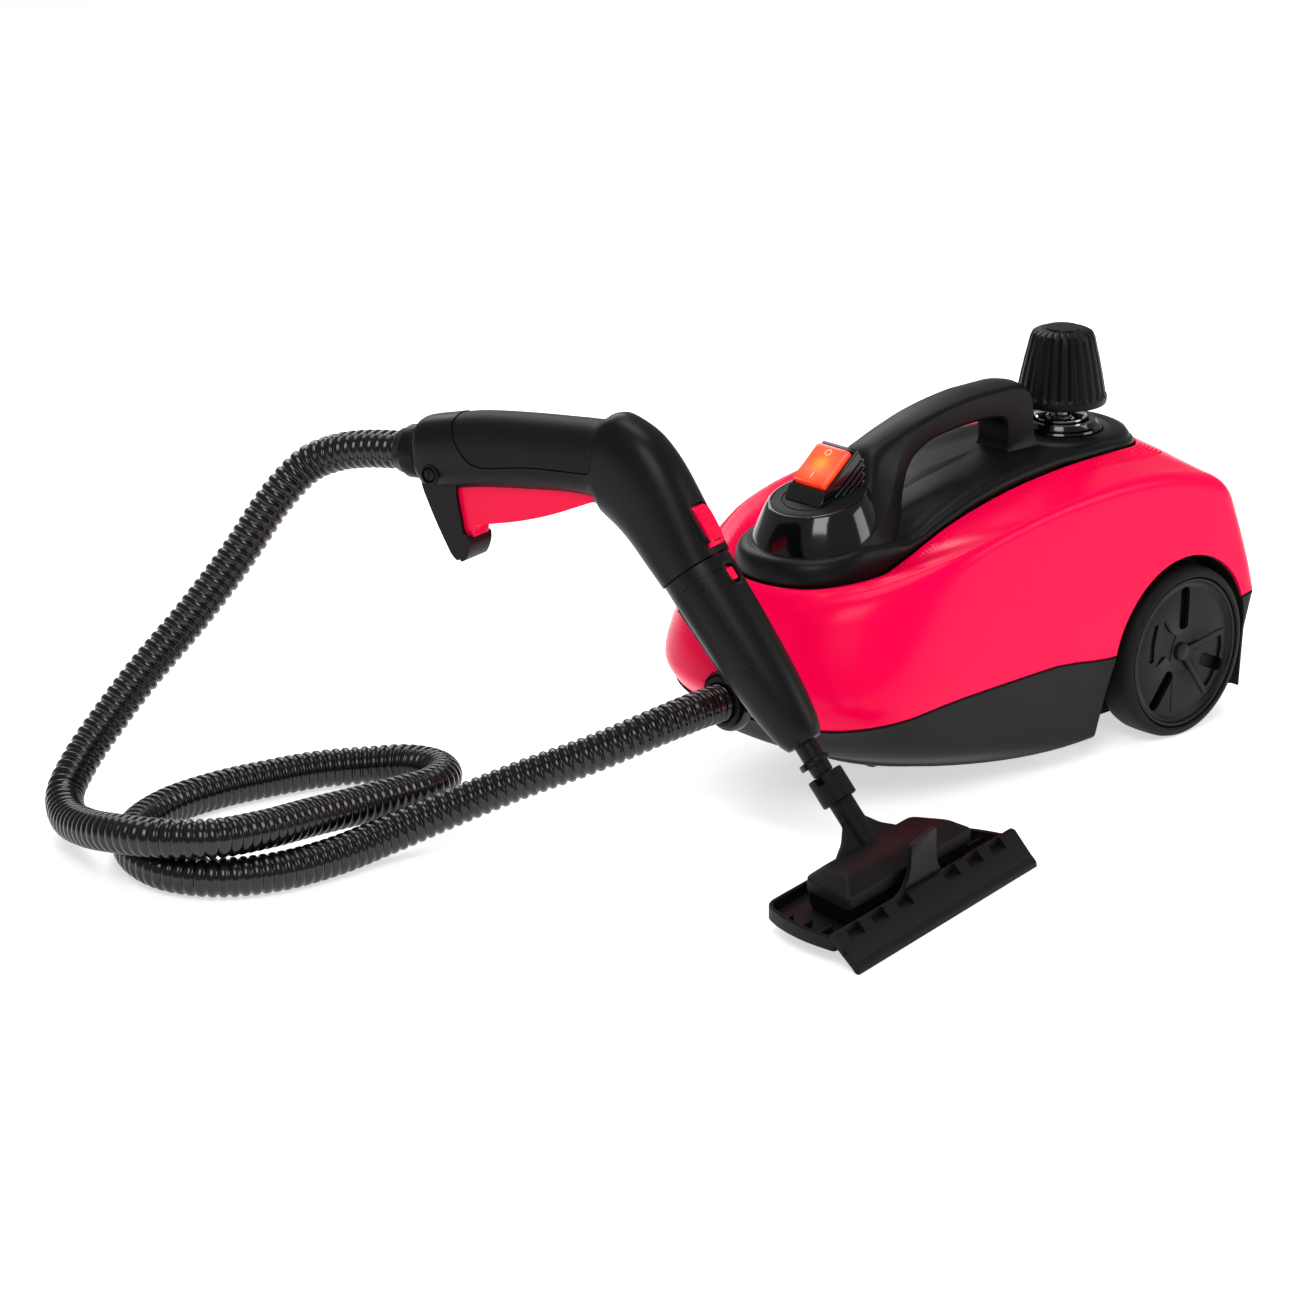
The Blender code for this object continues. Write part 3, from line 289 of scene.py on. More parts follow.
def rounded(points, radius, steps=4):
    """A polygon with its corners rounded; radius may be one number or one per corner."""
    made = []
    count = len(points)
    for i, here in enumerate(points):
        r = radius[i] if isinstance(radius, (list, tuple)) else radius
        here, before, after = Vector(here), Vector(points[i - 1]), Vector(points[(i + 1) % count])
        back, on = (before - here), (after - here)
        r = min(r, 0.48 * back.length, 0.48 * on.length)
        if r < 0.05:
            made.append(tuple(here))
            continue
        a, b = here + back.normalized() * r, here + on.normalized() * r
        for k in range(steps + 1):
            t = k / steps
            made.append(tuple(a * (1 - t) ** 2 + here * 2 * t * (1 - t) + b * t * t))
    return made


def spline(route, spacing):
    """Evenly spaced points on a centripetal Catmull-Rom curve."""
    pts = [Vector(p) for p in route]
    pts = [2 * pts[0] - pts[1], *pts, 2 * pts[-1] - pts[-2]]
    fine = []
    for a, b, c, d in zip(pts, pts[1:], pts[2:], pts[3:]):
        t1 = (b - a).length ** 0.5
        t2 = t1 + (c - b).length ** 0.5
        t3 = t2 + (d - c).length ** 0.5
        for step in range(24):
            t = t1 + (t2 - t1) * step / 24
            ab = a * (t1 - t) / t1 + b * t / t1
            bc = b * (t2 - t) / (t2 - t1) + c * (t - t1) / (t2 - t1)
            cd = c * (t3 - t) / (t3 - t2) + d * (t - t2) / (t3 - t2)
            abc = ab * (t2 - t) / t2 + bc * t / t2
            bcd = bc * (t3 - t) / (t3 - t1) + cd * (t - t1) / (t3 - t1)
            fine.append(abc * (t2 - t) / (t2 - t1) + bcd * (t - t1) / (t2 - t1))
    fine.append(pts[-2])
    reach = [0.0]
    for a, b in zip(fine, fine[1:]):
        reach.append(reach[-1] + (b - a).length)
    count = max(2, round(reach[-1] / spacing))
    made, k = [], 0
    for i in range(count + 1):
        want = reach[-1] * i / count
        while k < len(reach) - 2 and reach[k + 1] < want:
            k += 1
        share = (want - reach[k]) / max(1e-9, reach[k + 1] - reach[k])
        made.append(fine[k].lerp(fine[k + 1], min(1.0, share)))
    return made, reach[-1]


def frames(line):
    """Tangent and two normals at each point, carried along without twist."""
    made = []
    normal = None
    for i, here in enumerate(line):
        tangent = (line[min(i + 1, len(line) - 1)] - line[max(i - 1, 0)]).normalized()
        if normal is None:
            normal = tangent.orthogonal().normalized()
        normal = (normal - tangent * normal.dot(tangent)).normalized()
        made.append((here, tangent, normal, tangent.cross(normal)))
    return made


# ---------------------------------------------------------------- camera, light and floor
def set_stage():
    camera = bpy.data.objects.new("camera", bpy.data.cameras.new("camera"))
    camera.data.sensor_width = 36.0
    camera.data.lens = 120.71
    camera.data.clip_end = 50.0
    camera.location = (-1.9370, -1.8329, 0.9977)
    camera.rotation_euler = (radians(90 - 18.951), 0.0, radians(-42.874))
    bpy.context.scene.collection.objects.link(camera)
    bpy.context.scene.camera = camera

    bm = bmesh.new()
    bmesh.ops.create_grid(bm, x_segments=8, y_segments=8, size=9.0)
    mesh = bpy.data.meshes.new("floor")
    bm.to_mesh(mesh)
    bm.free()
    floor = bpy.data.objects.new("floor", mesh)
    floor.location.z = -0.0003
    pale = node_material("floor_pale", (0.95, 0.95, 0.95), 0.75, grain=40, depth=0.00005, specular=0.1)
    pale.node_tree.nodes["Principled BSDF"].inputs["Emission Color"].default_value = (1.0, 1.0, 1.0, 1.0)
    pale.node_tree.nodes["Principled BSDF"].inputs["Emission Strength"].default_value = 0.6
    mesh.materials.append(pale)
    bpy.context.scene.collection.objects.link(floor)

    world = bpy.data.worlds.new("studio")
    world.use_nodes = True
    world.node_tree.nodes["Background"].inputs["Color"].default_value = (1.0, 1.0, 1.0, 1.0)
    world.node_tree.nodes["Background"].inputs["Strength"].default_value = 0.3
    bpy.context.scene.world = world
    centre = Vector((0.0, 0.03, 0.12))
    for name, spot, size, power in (("key", (-1.5, -1.3, 1.9), 1.1, 26), ("fill", (1.4, -1.6, 0.9), 0.9, 10),
                                    ("back", (0.6, 1.7, 1.5), 1.4, 20), ("top", (0.0, 0.1, 2.1), 1.0, 14)):
        light = bpy.data.objects.new(name, bpy.data.lights.new(name, "AREA"))
        light.data.size = size
        light.data.energy = power
        light.location = spot
        light.rotation_euler = (centre - Vector(spot)).to_track_quat("-Z", "Y").to_euler()
        bpy.context.scene.collection.objects.link(light)
    bpy.context.scene.view_settings.view_transform = "Standard"


# ---------------------------------------------------------------- hose
HOSE_ROUTE = [
    (-309.3, 0, 76), (-320, 0, 76), (-336, -1, 76), (-366, 3, 71.5), (-403, 19, 59.5), (-441, 43, 45.5),
    (-480, 66, 30), (-520, 81, 18), (-560, 85, 13.5), (-600, 91, 13), (-631, 109, 13), (-646, 139, 13),
    (-641, 175, 13), (-617, 206, 13), (-581, 223, 13), (-541, 226, 13), (-501, 220, 13), (-467, 211, 13),
    (-441, 197, 13), (-424, 176, 16), (-421, 150, 19), (-433, 128, 22), (-456, 115, 24.5), (-486, 112, 27),
    (-518, 111, 29), (-555, 109, 32), (-596, 104, 36), (-631, 108, 38.5), (-653, 130, 38), (-660, 165, 33),
    (-656, 203, 25), (-645, 238, 20), (-629, 263, 25), (-609, 272, 40), (-587, 273, 60), (-560, 271, 85),
    (-522, 267, 117), (-487, 263, 151), (-460, 257, 184), (-441.5, 246, 205), (-431, 229, 214.5),
    (-424.8, 210, 219.6), (-421.2, 194.8, 222.1), (-419.4, 186.8, 223.1), (-417.6, 178.9, 224.1)]


RIB = [(0.0, 10.8), (0.1, 10.95), (0.2, 11.8), (0.32, 12.2), (0.5, 12.3), (0.68, 12.2), (0.8, 11.8),
       (0.9, 10.95)]


def hose():
    """Corrugated tube: wide rounded ribs, one after another, with narrow valleys between them."""
    sides, per_rib = 28, 50
    length = spline(HOSE_ROUTE, RIB_PITCH)[1]
    ribs = round(length / RIB_PITCH)
    line, length = spline(HOSE_ROUTE, length / (ribs * per_rib))
    path = frames(line)
    rings = []
    for rib in range(ribs):
        for share, r in RIB:
            here, _, n, b = path[round((rib + share) * per_rib)]
            angles = [2 * pi * k / sides for k in range(sides)]
            rings.append([here + (n * cos(a) + b * sin(a)) * r for a in angles])
    line = line[::10]
    made = piece("hose_ribbed", loft(rings), MACHINE, None, HOSE, smooth=60)
    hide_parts("hose")
    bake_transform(made)


# ---------------------------------------------------------------- machine's skin
BODY_RINGS = {
    "bottom": (-230, 150, 2.0, 88, 20, 4.0, [(0, 96)], [(-230, 21), (-80, 16.5), (88, 18)]),
    "bilge": (-288, 110, 2.2, 94, 22, 3.5, [(0, 96)], [(-288, 49), (-200, 42), (94, 42)]),
    "parting": (-299, 75, 2.5, 103, 20, 3.2, [(0, 98)],
                [(-299, 66), (-250, 72), (-190, 75.5), (-110, 76), (-45, 69), (17, 74), (103, 86)]),
    "waist": (-309, 82, 2.5, 98, 26, 3.0, [(0, 99.5)], [(-309, 84), (0, 108), (98, 108)]),
    "crease": (-298, 130, 2.2, 82, 32, 2.6, [(0, 97)],
               [(-298, 126), (-285, 140), (-260, 152), (-235, 160), (-200, 169), (-150, 178),
                (-92, 184), (-40, 186), (0, 184), (37, 176), (60, 168), (82, 157)]),
    "panel": (-281, 50, 2.1, 50, 50, 2.0, [(-231, 49), (-140, 48), (0, 49)],
              [(-281, 150), (-225, 151), (-198, 158), (-165, 170), (-132, 178.5), (-87, 186),
               (-40, 189.5), (0, 190), (30, 187), (50, 184)]),
}
QUARTER = 18


def ring(key, inset=0.0, lift=0.0):
    """Points round the machine at one level, nose tip first and down the near side."""
    nose, nose_len, nose_pow, tail, tail_len, tail_pow, half, height = BODY_RINGS[key]
    steps = [i / QUARTER for i in range(QUARTER + 1)]
    points = [(nose + nose_len * (1 - cos(s * pi / 2) ** (2 / nose_pow)), sin(s * pi / 2) ** (2 / nose_pow))
              for s in steps]
    run = tail - tail_len - nose - nose_len
    points += [(nose + nose_len + run * s, 1.0) for s in steps[1:-1]]
    points += [(tail - tail_len * (1 - sin(s * pi / 2) ** (2 / tail_pow)), cos(s * pi / 2) ** (2 / tail_pow))
               for s in steps]
    middle, reach = (nose + tail) / 2, (tail - nose) / 2
    near = []
    for x, share in points:
        side = -share * (along(x, half) - inset)
        near.append(Vector((middle + (x - middle) * (1 - inset / reach), side, along(x, height) + lift)))
    return near + [Vector((p.x, -p.y, p.z)) for p in near[-2:0:-1]]


def through(rings, at, shares):
    """Rings on smooth curves through given rings, which sit at the given shares."""
    made = []
    for share in shares:
        made.append([Vector([along(share, [(s, level[i][axis]) for s, level in zip(at, rings)])
                             for axis in range(3)]) for i in range(len(rings[0]))])
    return made


def arch_outline(radius, floor):
    """Arch over a rear wheel, from its front foot to its rear foot."""
    steps = 48
    start = asin((floor - WHEEL_R) / radius)
    angles = [pi - start - (pi - 2 * start) * i / steps for i in range(steps + 1)]
    return [(AXLE_X + radius * cos(a), WHEEL_R + radius * sin(a)) for a in angles]


def flanks(outline, near, far):
    """Tools that give the outline thickness on both sides of the machine."""
    return [shape(extrude(outline, *sorted((side * near, side * far)), "XZ"), MACHINE) for side in (-1, 1)]


def wells():
    outline = arch_outline(ARCH_R, 66) + [(ARCH_FOOT[1], -5), (ARCH_FOOT[0], -5)]
    return flanks(outline, 70, 125)


def socket_bore(radius, depth):
    return shape(turned([(0, 60), (radius, 60), (radius, depth), (0, depth)], 64, at=(SOCKET_X, 0, SOCKET_Z),
                        turn=Matrix.Rotation(radians(-90), 4, "Y")), MACHINE)


def caster_tool(radius, top, bottom, steps=48):
    return shape(turned([(0, top), (radius, top), (radius, bottom), (0, bottom)], steps, at=(CASTER_X, 0, 0)),
                 MACHINE)


def flat(key, inset, height):
    return [Vector((p.x, p.y, height)) for p in ring(key, inset)]


SHOULDER = [(-300, 40), (-240, 30), (-200, 16), (-100, 10), (0, 12), (60, 16), (82, 20)]


def skin_levels(low, middle, crease, inner):
    """Side, rounded shoulder and top of the shell, column by column round the machine."""
    columns = []
    for a, b, c, d in zip(low, middle, crease, inner):
        reach = min(along(c.x, SHOULDER), 0.45 * (c - b).length, 0.45 * (d - c).length)
        stop = 1 - 0.7 * reach / (c - b).length
        tables = [[(0, a[k]), (0.3, b[k]), (1, c[k])] for k in range(3)]
        side = [Vector([along(stop * i / 14, table) for table in tables]) for i in range(1, 15)]
        on = c + (d - c).normalized() * reach
        bend = [side[-1] * (1 - t) ** 2 + c * 2 * t * (1 - t) + on * t * t
                for t in (i / 8 for i in range(1, 9))]
        top = [on.lerp(d, i / 8) + Vector((0, 0, 1.6 * sin(pi * i / 8))) for i in range(1, 9)]
        columns.append(side + bend + top)
    return [list(level) for level in zip(*columns)]


def shells():
    """Black hull below the parting line, red shell above it, and the black liners over the wheels."""
    parting = ring("parting", 0, -0.3)
    outer = through([parting, ring("bilge"), ring("bottom", 0, 2)], [0, 0.5, 1], [i / 9 for i in range(10)])
    levels = [flat("bottom", 16, 17.5 + WALL), ring("bottom", WALL, WALL), ring("bilge", WALL),
              ring("parting", WALL, -0.3), ring("parting", 0.8, -0.3), ring("parting", 0, -1.0)]
    levels += outer[1:] + [ring("bottom", 1.5, 0), flat("bottom", 8, 17.5), flat("bottom", 16, 17.5)]
    base = piece("hull", loft(levels), MACHINE, "machine", HULL, ["lower_base"])
    liner = [(ARCH_FOOT[0] + 21 - WALL, 68), (ARCH_FOOT[0] - WALL, 18.5), (ARCH_FOOT[1] + WALL, 18.5),
             (ARCH_FOOT[1] + 5.7, 68)]
    carve(base, flanks(liner, LINER_IN, LINER_OUT) + [caster_tool(CASTER_WELL + WALL, 44, 19)], "UNION")
    sockets = (SOCKET_R, -40), (SOCKET_RING_R, -6.3)
    carve(base, wells() + [socket_bore(*size) for size in sockets]
          + [caster_tool(CASTER_WELL, 41, -9), caster_tool(4.3, 60, 30, 24)])

    levels = [ring("parting", WALL, 0.3), ring("parting", 0.8, 0.3), ring("parting", 0, 1.0)]
    levels += skin_levels(ring("parting", 0, 0.3), ring("waist"), ring("crease"), ring("panel", -2.0, -0.3))
    levels += [ring("panel", -1.2, -0.9), ring("panel", -1.0, -2.5), ring("crease", WALL + 2, -WALL - 1.5),
               ring("waist", WALL)]
    shell = piece("shell_red", loft(levels, closed=True), MACHINE, "machine", RED, ["upper_shell"],
                  28)
    carve(shell, flanks(arch_outline(ARCH_R + WALL, 68.3), LINER_IN, 92)
          + flanks(arch_outline(ARCH_R + WALL, 88), 90, 97.4), "UNION", 28)
    carve(shell, wells() + [socket_bore(*size) for size in sockets], smooth=28)
    for side, suffix in ((-1, "right"), (1, "left")):
        band = arch_outline(ARCH_R - 0.1, 68.4) + arch_outline(ARCH_R - 0.8, 68.4)[::-1]
        arch = extrude(band, *sorted((side * 70.1, side * 96.6)), "XZ")
        liner = piece("well_liner_" + suffix, arch, MACHINE, "machine", HULL)
        disc = extrude(arch_outline(ARCH_R - 0.4, 68.4), *sorted((side * 70.05, side * 70.7)), "XZ")
        carve(liner, [shape(disc, MACHINE)], "UNION")
    return shell


def crown_height(x, y):
    """Top of the black panel."""
    middle = along(x, [(-280, 163), (-217, 169), (-172, 181), (-120, 191), (-60, 195), (-18, 195.3),
                       (50, 191)])
    return middle - 4.0 * (y / 48) ** 2


def top_panel():
    """Black panel: a convex flange round it, then a crowned middle with the filler's hole."""
    levels = []
    rise = [(-281, 15), (-250, 17), (-225, 20), (-205, 14), (-192, 7), (-180, 5.5), (-120, 7), (-60, 6.5),
            (-10, 5), (50, 5)]
    for inset, share in ((3.2, -0.35), (0.3, 0.02), (0.0, 0.12), (0.3, 0.4), (1.2, 0.68), (2.8, 0.88),
                         (5.0, 0.98), (7.5, 1.0)):
        levels.append([Vector((p.x, p.y, p.z + 0.3 + along(p.x, rise) * share))
                       for p in ring("panel", inset)])
    rim = levels[-1]
    for i in range(1, 9):
        share = i / 9
        level = []
        for p in rim:
            x, y = p.x + (-105 - p.x) * share * 0.55, p.y * (1 - share)
            blend = min(1.0, share * 2.6)
            blend = blend * blend * (3 - 2 * blend)
            level.append(Vector((x, y, p.z * (1 - blend) + crown_height(x, y) * blend)))
        levels.append(level)
    panel = piece("top_panel", loft(levels), MACHINE, "machine", BLACK, ["top_panel"])
    hole = turned([(0, 40), (19.3, 40), (19.3, -60), (0, -60)], 64, at=(0, 0, 200))
    carve(panel, [shape(hole, MACHINE)])


def dome_level(radius, height):
    """Circle round the dome, tilted like its plate."""
    steps, rise = 72, sin(radians(DOME_TILT))
    return [Vector((DOME_X + radius * cos(a), radius * sin(a), height + radius * cos(a) * rise))
            for a in (2 * pi * i / steps for i in range(steps))]


def dome():
    """Glossy pod with a matt plate on top, let into a ring."""
    walls = [(43.5, 160), (42.6, 168), (41.6, 173.5), (39.8, 178), (37, 184.5), (34.4, 190), (32.4, 193.6),
             (31.2, 194.9), (30.4, 195), (30.1, 194.2), (4, 194.2)]
    made = piece("dome", loft([dome_level(*w) for w in walls]), MACHINE, "machine", GLOSS, ["switch_dome"])
    plate = [(29.8, 193), (29.8, 194.6), (29.2, 195.1), (23, 195.2), (22.6, 194.6), (21.9, 194.6),
             (21.5, 195.2), (3, 195.2), (3, 193)]
    piece("dome_plate", loft([dome_level(*w) for w in plate]), MACHINE, "machine", SOFT)
    return made


def spine(stations, count):
    """More stations on smooth curves through the given ones."""
    reach = [0.0]
    for a, b in zip(stations, stations[1:]):
        reach.append(reach[-1] + hypot(b[0] - a[0], b[1] - a[1]))
    tables = [[(r, s[k]) for r, s in zip(reach, stations)] for k in range(len(stations[0]))]
    return [[along(reach[-1] * i / count, table) for table in tables] for i in range(count + 1)]


# Handle, near half: lower edge, rim, shoulder, then x and z of the crown
HANDLE = [
    ((-224, -47.5, 158), (-238, -42.5, 168), (-238, -27, 176), (-236, 178)),
    ((-209, -46, 162), (-219, -41, 176.5), (-219, -28.5, 189), (-216, 194)),
    ((-194, -38, 170), (-201, -33.5, 184.5), (-203, -22, 199.5), (-204, 203)),
    ((-181, -29, 178), (-190, -28.5, 191), (-196, -17, 209), (-197, 213)),
    ((-171.5, -21.5, 190), (-180, -22, 199.5), (-189, -13.5, 217), (-190, 219.8)),
    ((-163, -17, 201.5), (-170, -17, 211.5), (-179, -12.4, 221.5), (-179.5, 223.6)),
    ((-154, -14.6, 209), (-157, -14.6, 222.5), (-163, -12, 226.2), (-164, 228.2)),
    ((-135, -14, 216.8), (-137, -14.2, 229.8), (-140, -12, 232), (-140, 233.6)),
    ((-115, -14, 219), (-115, -14.2, 234), (-115, -12, 236), (-115, 237.6)),
    ((-92, -14, 220), (-92, -14.2, 235.6), (-92, -12, 238), (-92, 239.6)),
    ((-72, -14, 217.5), (-66, -14.2, 235.5), (-66, -12, 238), (-66, 239.9)),
    ((-67, -14, 212), (-52, -14.2, 234), (-51, -12, 236.2), (-50.5, 238)),
    ((-66.2, -14, 203), (-43, -14.2, 224), (-42.2, -12, 225), (-42, 226)),
    ((-66, -14.3, 197), (-42, -14.5, 206), (-41.2, -12.3, 206), (-41, 206)),
    ((-69, -17, 191.5), (-39.5, -17, 195), (-38.5, -14.5, 195), (-38, 195)),
    ((-75, -22, 188), (-34, -22, 189.5), (-32, -18, 189.5), (-31.5, 189.5)),
]


def carry_handle():
    """Arch that grows out of the dome, with a crisp rim along each flank."""
    rings, at = [], [0.0]
    for *near, crown in HANDLE:
        near = [Vector(p) for p in near]
        loop = near + [Vector((crown[0], 0, crown[1]))] + [Vector((p.x, -p.y, p.z)) for p in reversed(near)]
        rings.append([Vector(p) for p in rounded(loop, [2.5, 0.8, 6, 9, 6, 0.8, 2.5], 4)])
    for before, after in zip(HANDLE, HANDLE[1:]):
        at.append(at[-1] + hypot(after[3][0] - before[3][0], after[3][1] - before[3][1]))
    body = through(rings, at, [at[-1] * i / 80 for i in range(81)])
    piece("carry_handle", loft(body), MACHINE, "machine", BLACK, ["carry_handle"], smooth=32)


def switch():
    """Wedge-shaped bezel with pleated flanks, and the lit rocker in its well."""
    wedge = rounded([(-242, 193), (-237.2, 200.6), (-207.4, 224.2), (-203.6, 215), (-203.6, 199), (-207, 192),
                     (-238, 190)], [0.5, 1.2, 1.2, 1.2, 0.5, 0.5, 0.5], 3)
    seat = MACHINE @ Matrix.Translation((ROCKER_AT[0], 0, ROCKER_AT[1]))
    seat = seat @ Matrix.Rotation(radians(-ROCKER_TILT), 4, "Y")
    bezel = piece("switch_bezel", extrude(wedge, -16, 16, "XZ", bevel=1.0), MACHINE, "machine", GLOSS,
                  ["switch_bezel"])
    well = [(-15.4, 14), (17, 14), (17, -3.5), (10, -9), (-10, -9), (-15.4, -3)]
    carve(bezel, [shape(extrude(well, -13.5, 13.5, "XZ"), seat)])
    for side, name in ((-1, "near"), (1, "far")):
        for i in range(4):
            deep = 5 + 4 * i
            low, high = sorted((side * 15, side * 17.2))
            front, rear = -14 + 5 * i, 18.5 - 0.8 * max(0, deep - 6.6)
            pleat = block((front, low, -deep - 0.65), (rear, high, -deep + 0.65), 0.5)
            piece("bezel_pleat_%s_%d" % (name, i + 1), pleat, seat, "machine", GLOSS)
    face = rounded([(-14.9, 8), (0, 7.3), (14.9, 8), (14.6, 1), (8, -6.5), (-8, -6.5), (-14.6, 1)],
                   [2.2, 6, 2.2, 1, 1, 1, 1], 5)
    piece("switch_rocker", extrude(face, -13, 13, "XZ", bevel=1.4, segments=4), seat, "rocker", LAMP,
          ["switch_rocker"], 30)
    ring_mark = turned([(2.5, 0.12), (2.5, -0.3), (1.8, -0.3), (1.8, 0.12)], 32, closed=True,
                       at=(9.2, 0, 7.75))
    piece("mark_off", ring_mark, seat, "rocker", MARK)
    piece("mark_on", block((-11.6, -0.4, 7.5), (-6.6, 0.4, 7.95), 0.1), seat, "rocker", MARK)


def filler():
    """Collar, ring, chrome stem and fluted knob of the screw cap."""
    collar = [(47, 186), (46.5, 191.5), (44, 195), (40, 196.8), (35, 197.2), (31, 196.9), (29.5, 196),
              (19.5, 196), (19.5, 186)]
    piece("neck_collar", turned(collar, 96, closed=True), MACHINE, "machine", BLACK)
    flange = [(24.2, 200.8), (23.6, 202), (20, 202), (19.2, 201), (19.2, 196.3), (28.3, 196.3), (28.6, 197),
              (28, 198.2), (25.5, 198.9)]
    piece("neck_ring", turned(flange, 96, closed=True), MACHINE, "machine", GLOSS, ["neck_ring"])
    stem = [(0, 216), (6.6, 216), (7, 215.6), (7, 207), (8, 206), (16.6, 205), (17.5, 204), (17.5, 198),
            (16.9, 197.5), (10.6, 197.5), (10.6, 178), (0, 178)]
    piece("plug_stem", turned(stem, 72), MACHINE, "filler_plug", CHROME, ["cap_plug"])

    def grooves(r, z, a):
        if r < 12 or z < 219 or z > 262.8:
            return r
        turn = (a * GRIP_GROOVES / (2 * pi)) % 1.0
        notch = max(0.0, 1 - abs(turn - 0.5) / 0.22)
        return r - 1.5 * notch ** 0.6

    side = [(0, 264.6), (11.6, 264.4), (12, 263.4), (13.4, 263.2), (17.5, 262.5), (20.2, 261), (21.6, 258),
            (23, 252), (25, 243.5), (27, 234), (28.7, 225), (29.4, 220.5), (30.4, 218.8), (30.7, 216.5),
            (30.3, 214), (29.6, 213.5), (27.8, 213.5), (27.2, 214.5), (25.2, 232), (22.4, 245), (18.6, 257),
            (9.5, 258), (9.5, 224), (0, 224)]
    piece("filler_knob", turned(side, 24 * 10, wave=grooves), MACHINE, "filler_knob", BLACK, ["cap_knob"],
          smooth=30)


# ---------------------------------------------------------------- marks on the red skin
def skin(target):
    """Nearest point and outward normal on a finished piece, in mm of the machine frame."""
    mesh = target.data.copy()
    mesh.transform(MACHINE.inverted())
    bm = bmesh.new()
    bm.from_mesh(mesh)
    tree = BVHTree.FromBMesh(bm)
    bm.free()
    bpy.data.meshes.remove(mesh)
    return tree


def stud(bm, hit, normal, heading, foot, height, sunk):
    """A small pyramid that stands on the skin; foot is (ahead, aside) pairs."""
    ahead = (heading - normal * heading.dot(normal)).normalized()
    side = normal.cross(ahead)
    base = [bm.verts.new(hit + ahead * u + side * v - normal * sunk) for u, v in foot]
    tip = bm.verts.new(hit + normal * height)
    bm.faces.new(base)
    for i in range(3):
        bm.faces.new((base[i], base[(i + 1) % 3], tip))


def knurls(shell):
    """Bands of small raised triangles beside the black panel, and a patch below its nose."""
    tree = skin(shell)
    bm = bmesh.new()
    rim = ring("panel", -1.5)
    run = [0.0]
    for a, b in zip(rim, rim[1:]):
        run.append(run[-1] + (b - a).length)
    half, step = len(rim) // 2, 3.1
    xs, ys = [[(r, p[axis]) for r, p in zip(run[:half + 1], rim[:half + 1])] for axis in (0, 1)]
    for side in (1, -1):
        for row in range(6):
            for i in range(int(run[half] / step)):
                at = (i + 0.5 * (row % 2)) * step
                x, y = along(at, xs), along(at, ys)
                ahead_x, ahead_y = along(at + 1, xs) - x, along(at + 1, ys) - y
                length = max(1e-6, hypot(ahead_x, ahead_y))
                across = 3.0 + 2.7 * row
                px, py = x + ahead_y / length * across, y - ahead_x / length * across
                fade = along(x, [(-262, 0), (-235, 0.5), (-200, 0.8), (-150, 0.75), (-90, 0.9), (-20, 1.0),
                                 (25, 1.0), (36, 0)])
                reach = along(x, [(-262, 4), (-215, 6), (-190, 3), (-120, 4), (-60, 5), (0, 6)])
                if fade <= 0.02 or row >= reach or py > -8:
                    continue
                hit, normal = tree.ray_cast(Vector((px, side * py, 260)), Vector((0, 0, -1)))[:2]
                if hit is not None:
                    size = 1.4 * fade
                    foot = [(size * cos(a), size * sin(a)) for a in (0, 2 * pi / 3, 4 * pi / 3)]
                    stud(bm, hit, normal, Vector((ahead_x, side * ahead_y, 0)), foot, 0.95 * fade, 0.15)
    piece("knurl_bands", bm, MACHINE, "machine", RED, smooth=10)

    bm = bmesh.new()
    for row in range(5):
        for i in range(5):
            if (row + 2 * i) % 5 == 3:
                continue
            y = -22 + 4.4 * i + 2.2 * (row % 2)
            z = 118 + 4.2 * row + 0.9 * i
            hit, normal = tree.ray_cast(Vector((-360, y, z)), Vector((1, 0, 0)))[:2]
            if hit is not None:
                stud(bm, hit, normal, Vector((0, 0.4, 1)), [(1.7, 0), (-0.7, 1.3), (-0.7, -1.3)], 0.8, 0.1)
    piece("nose_studs", bm, MACHINE, "machine", RED, smooth=10)


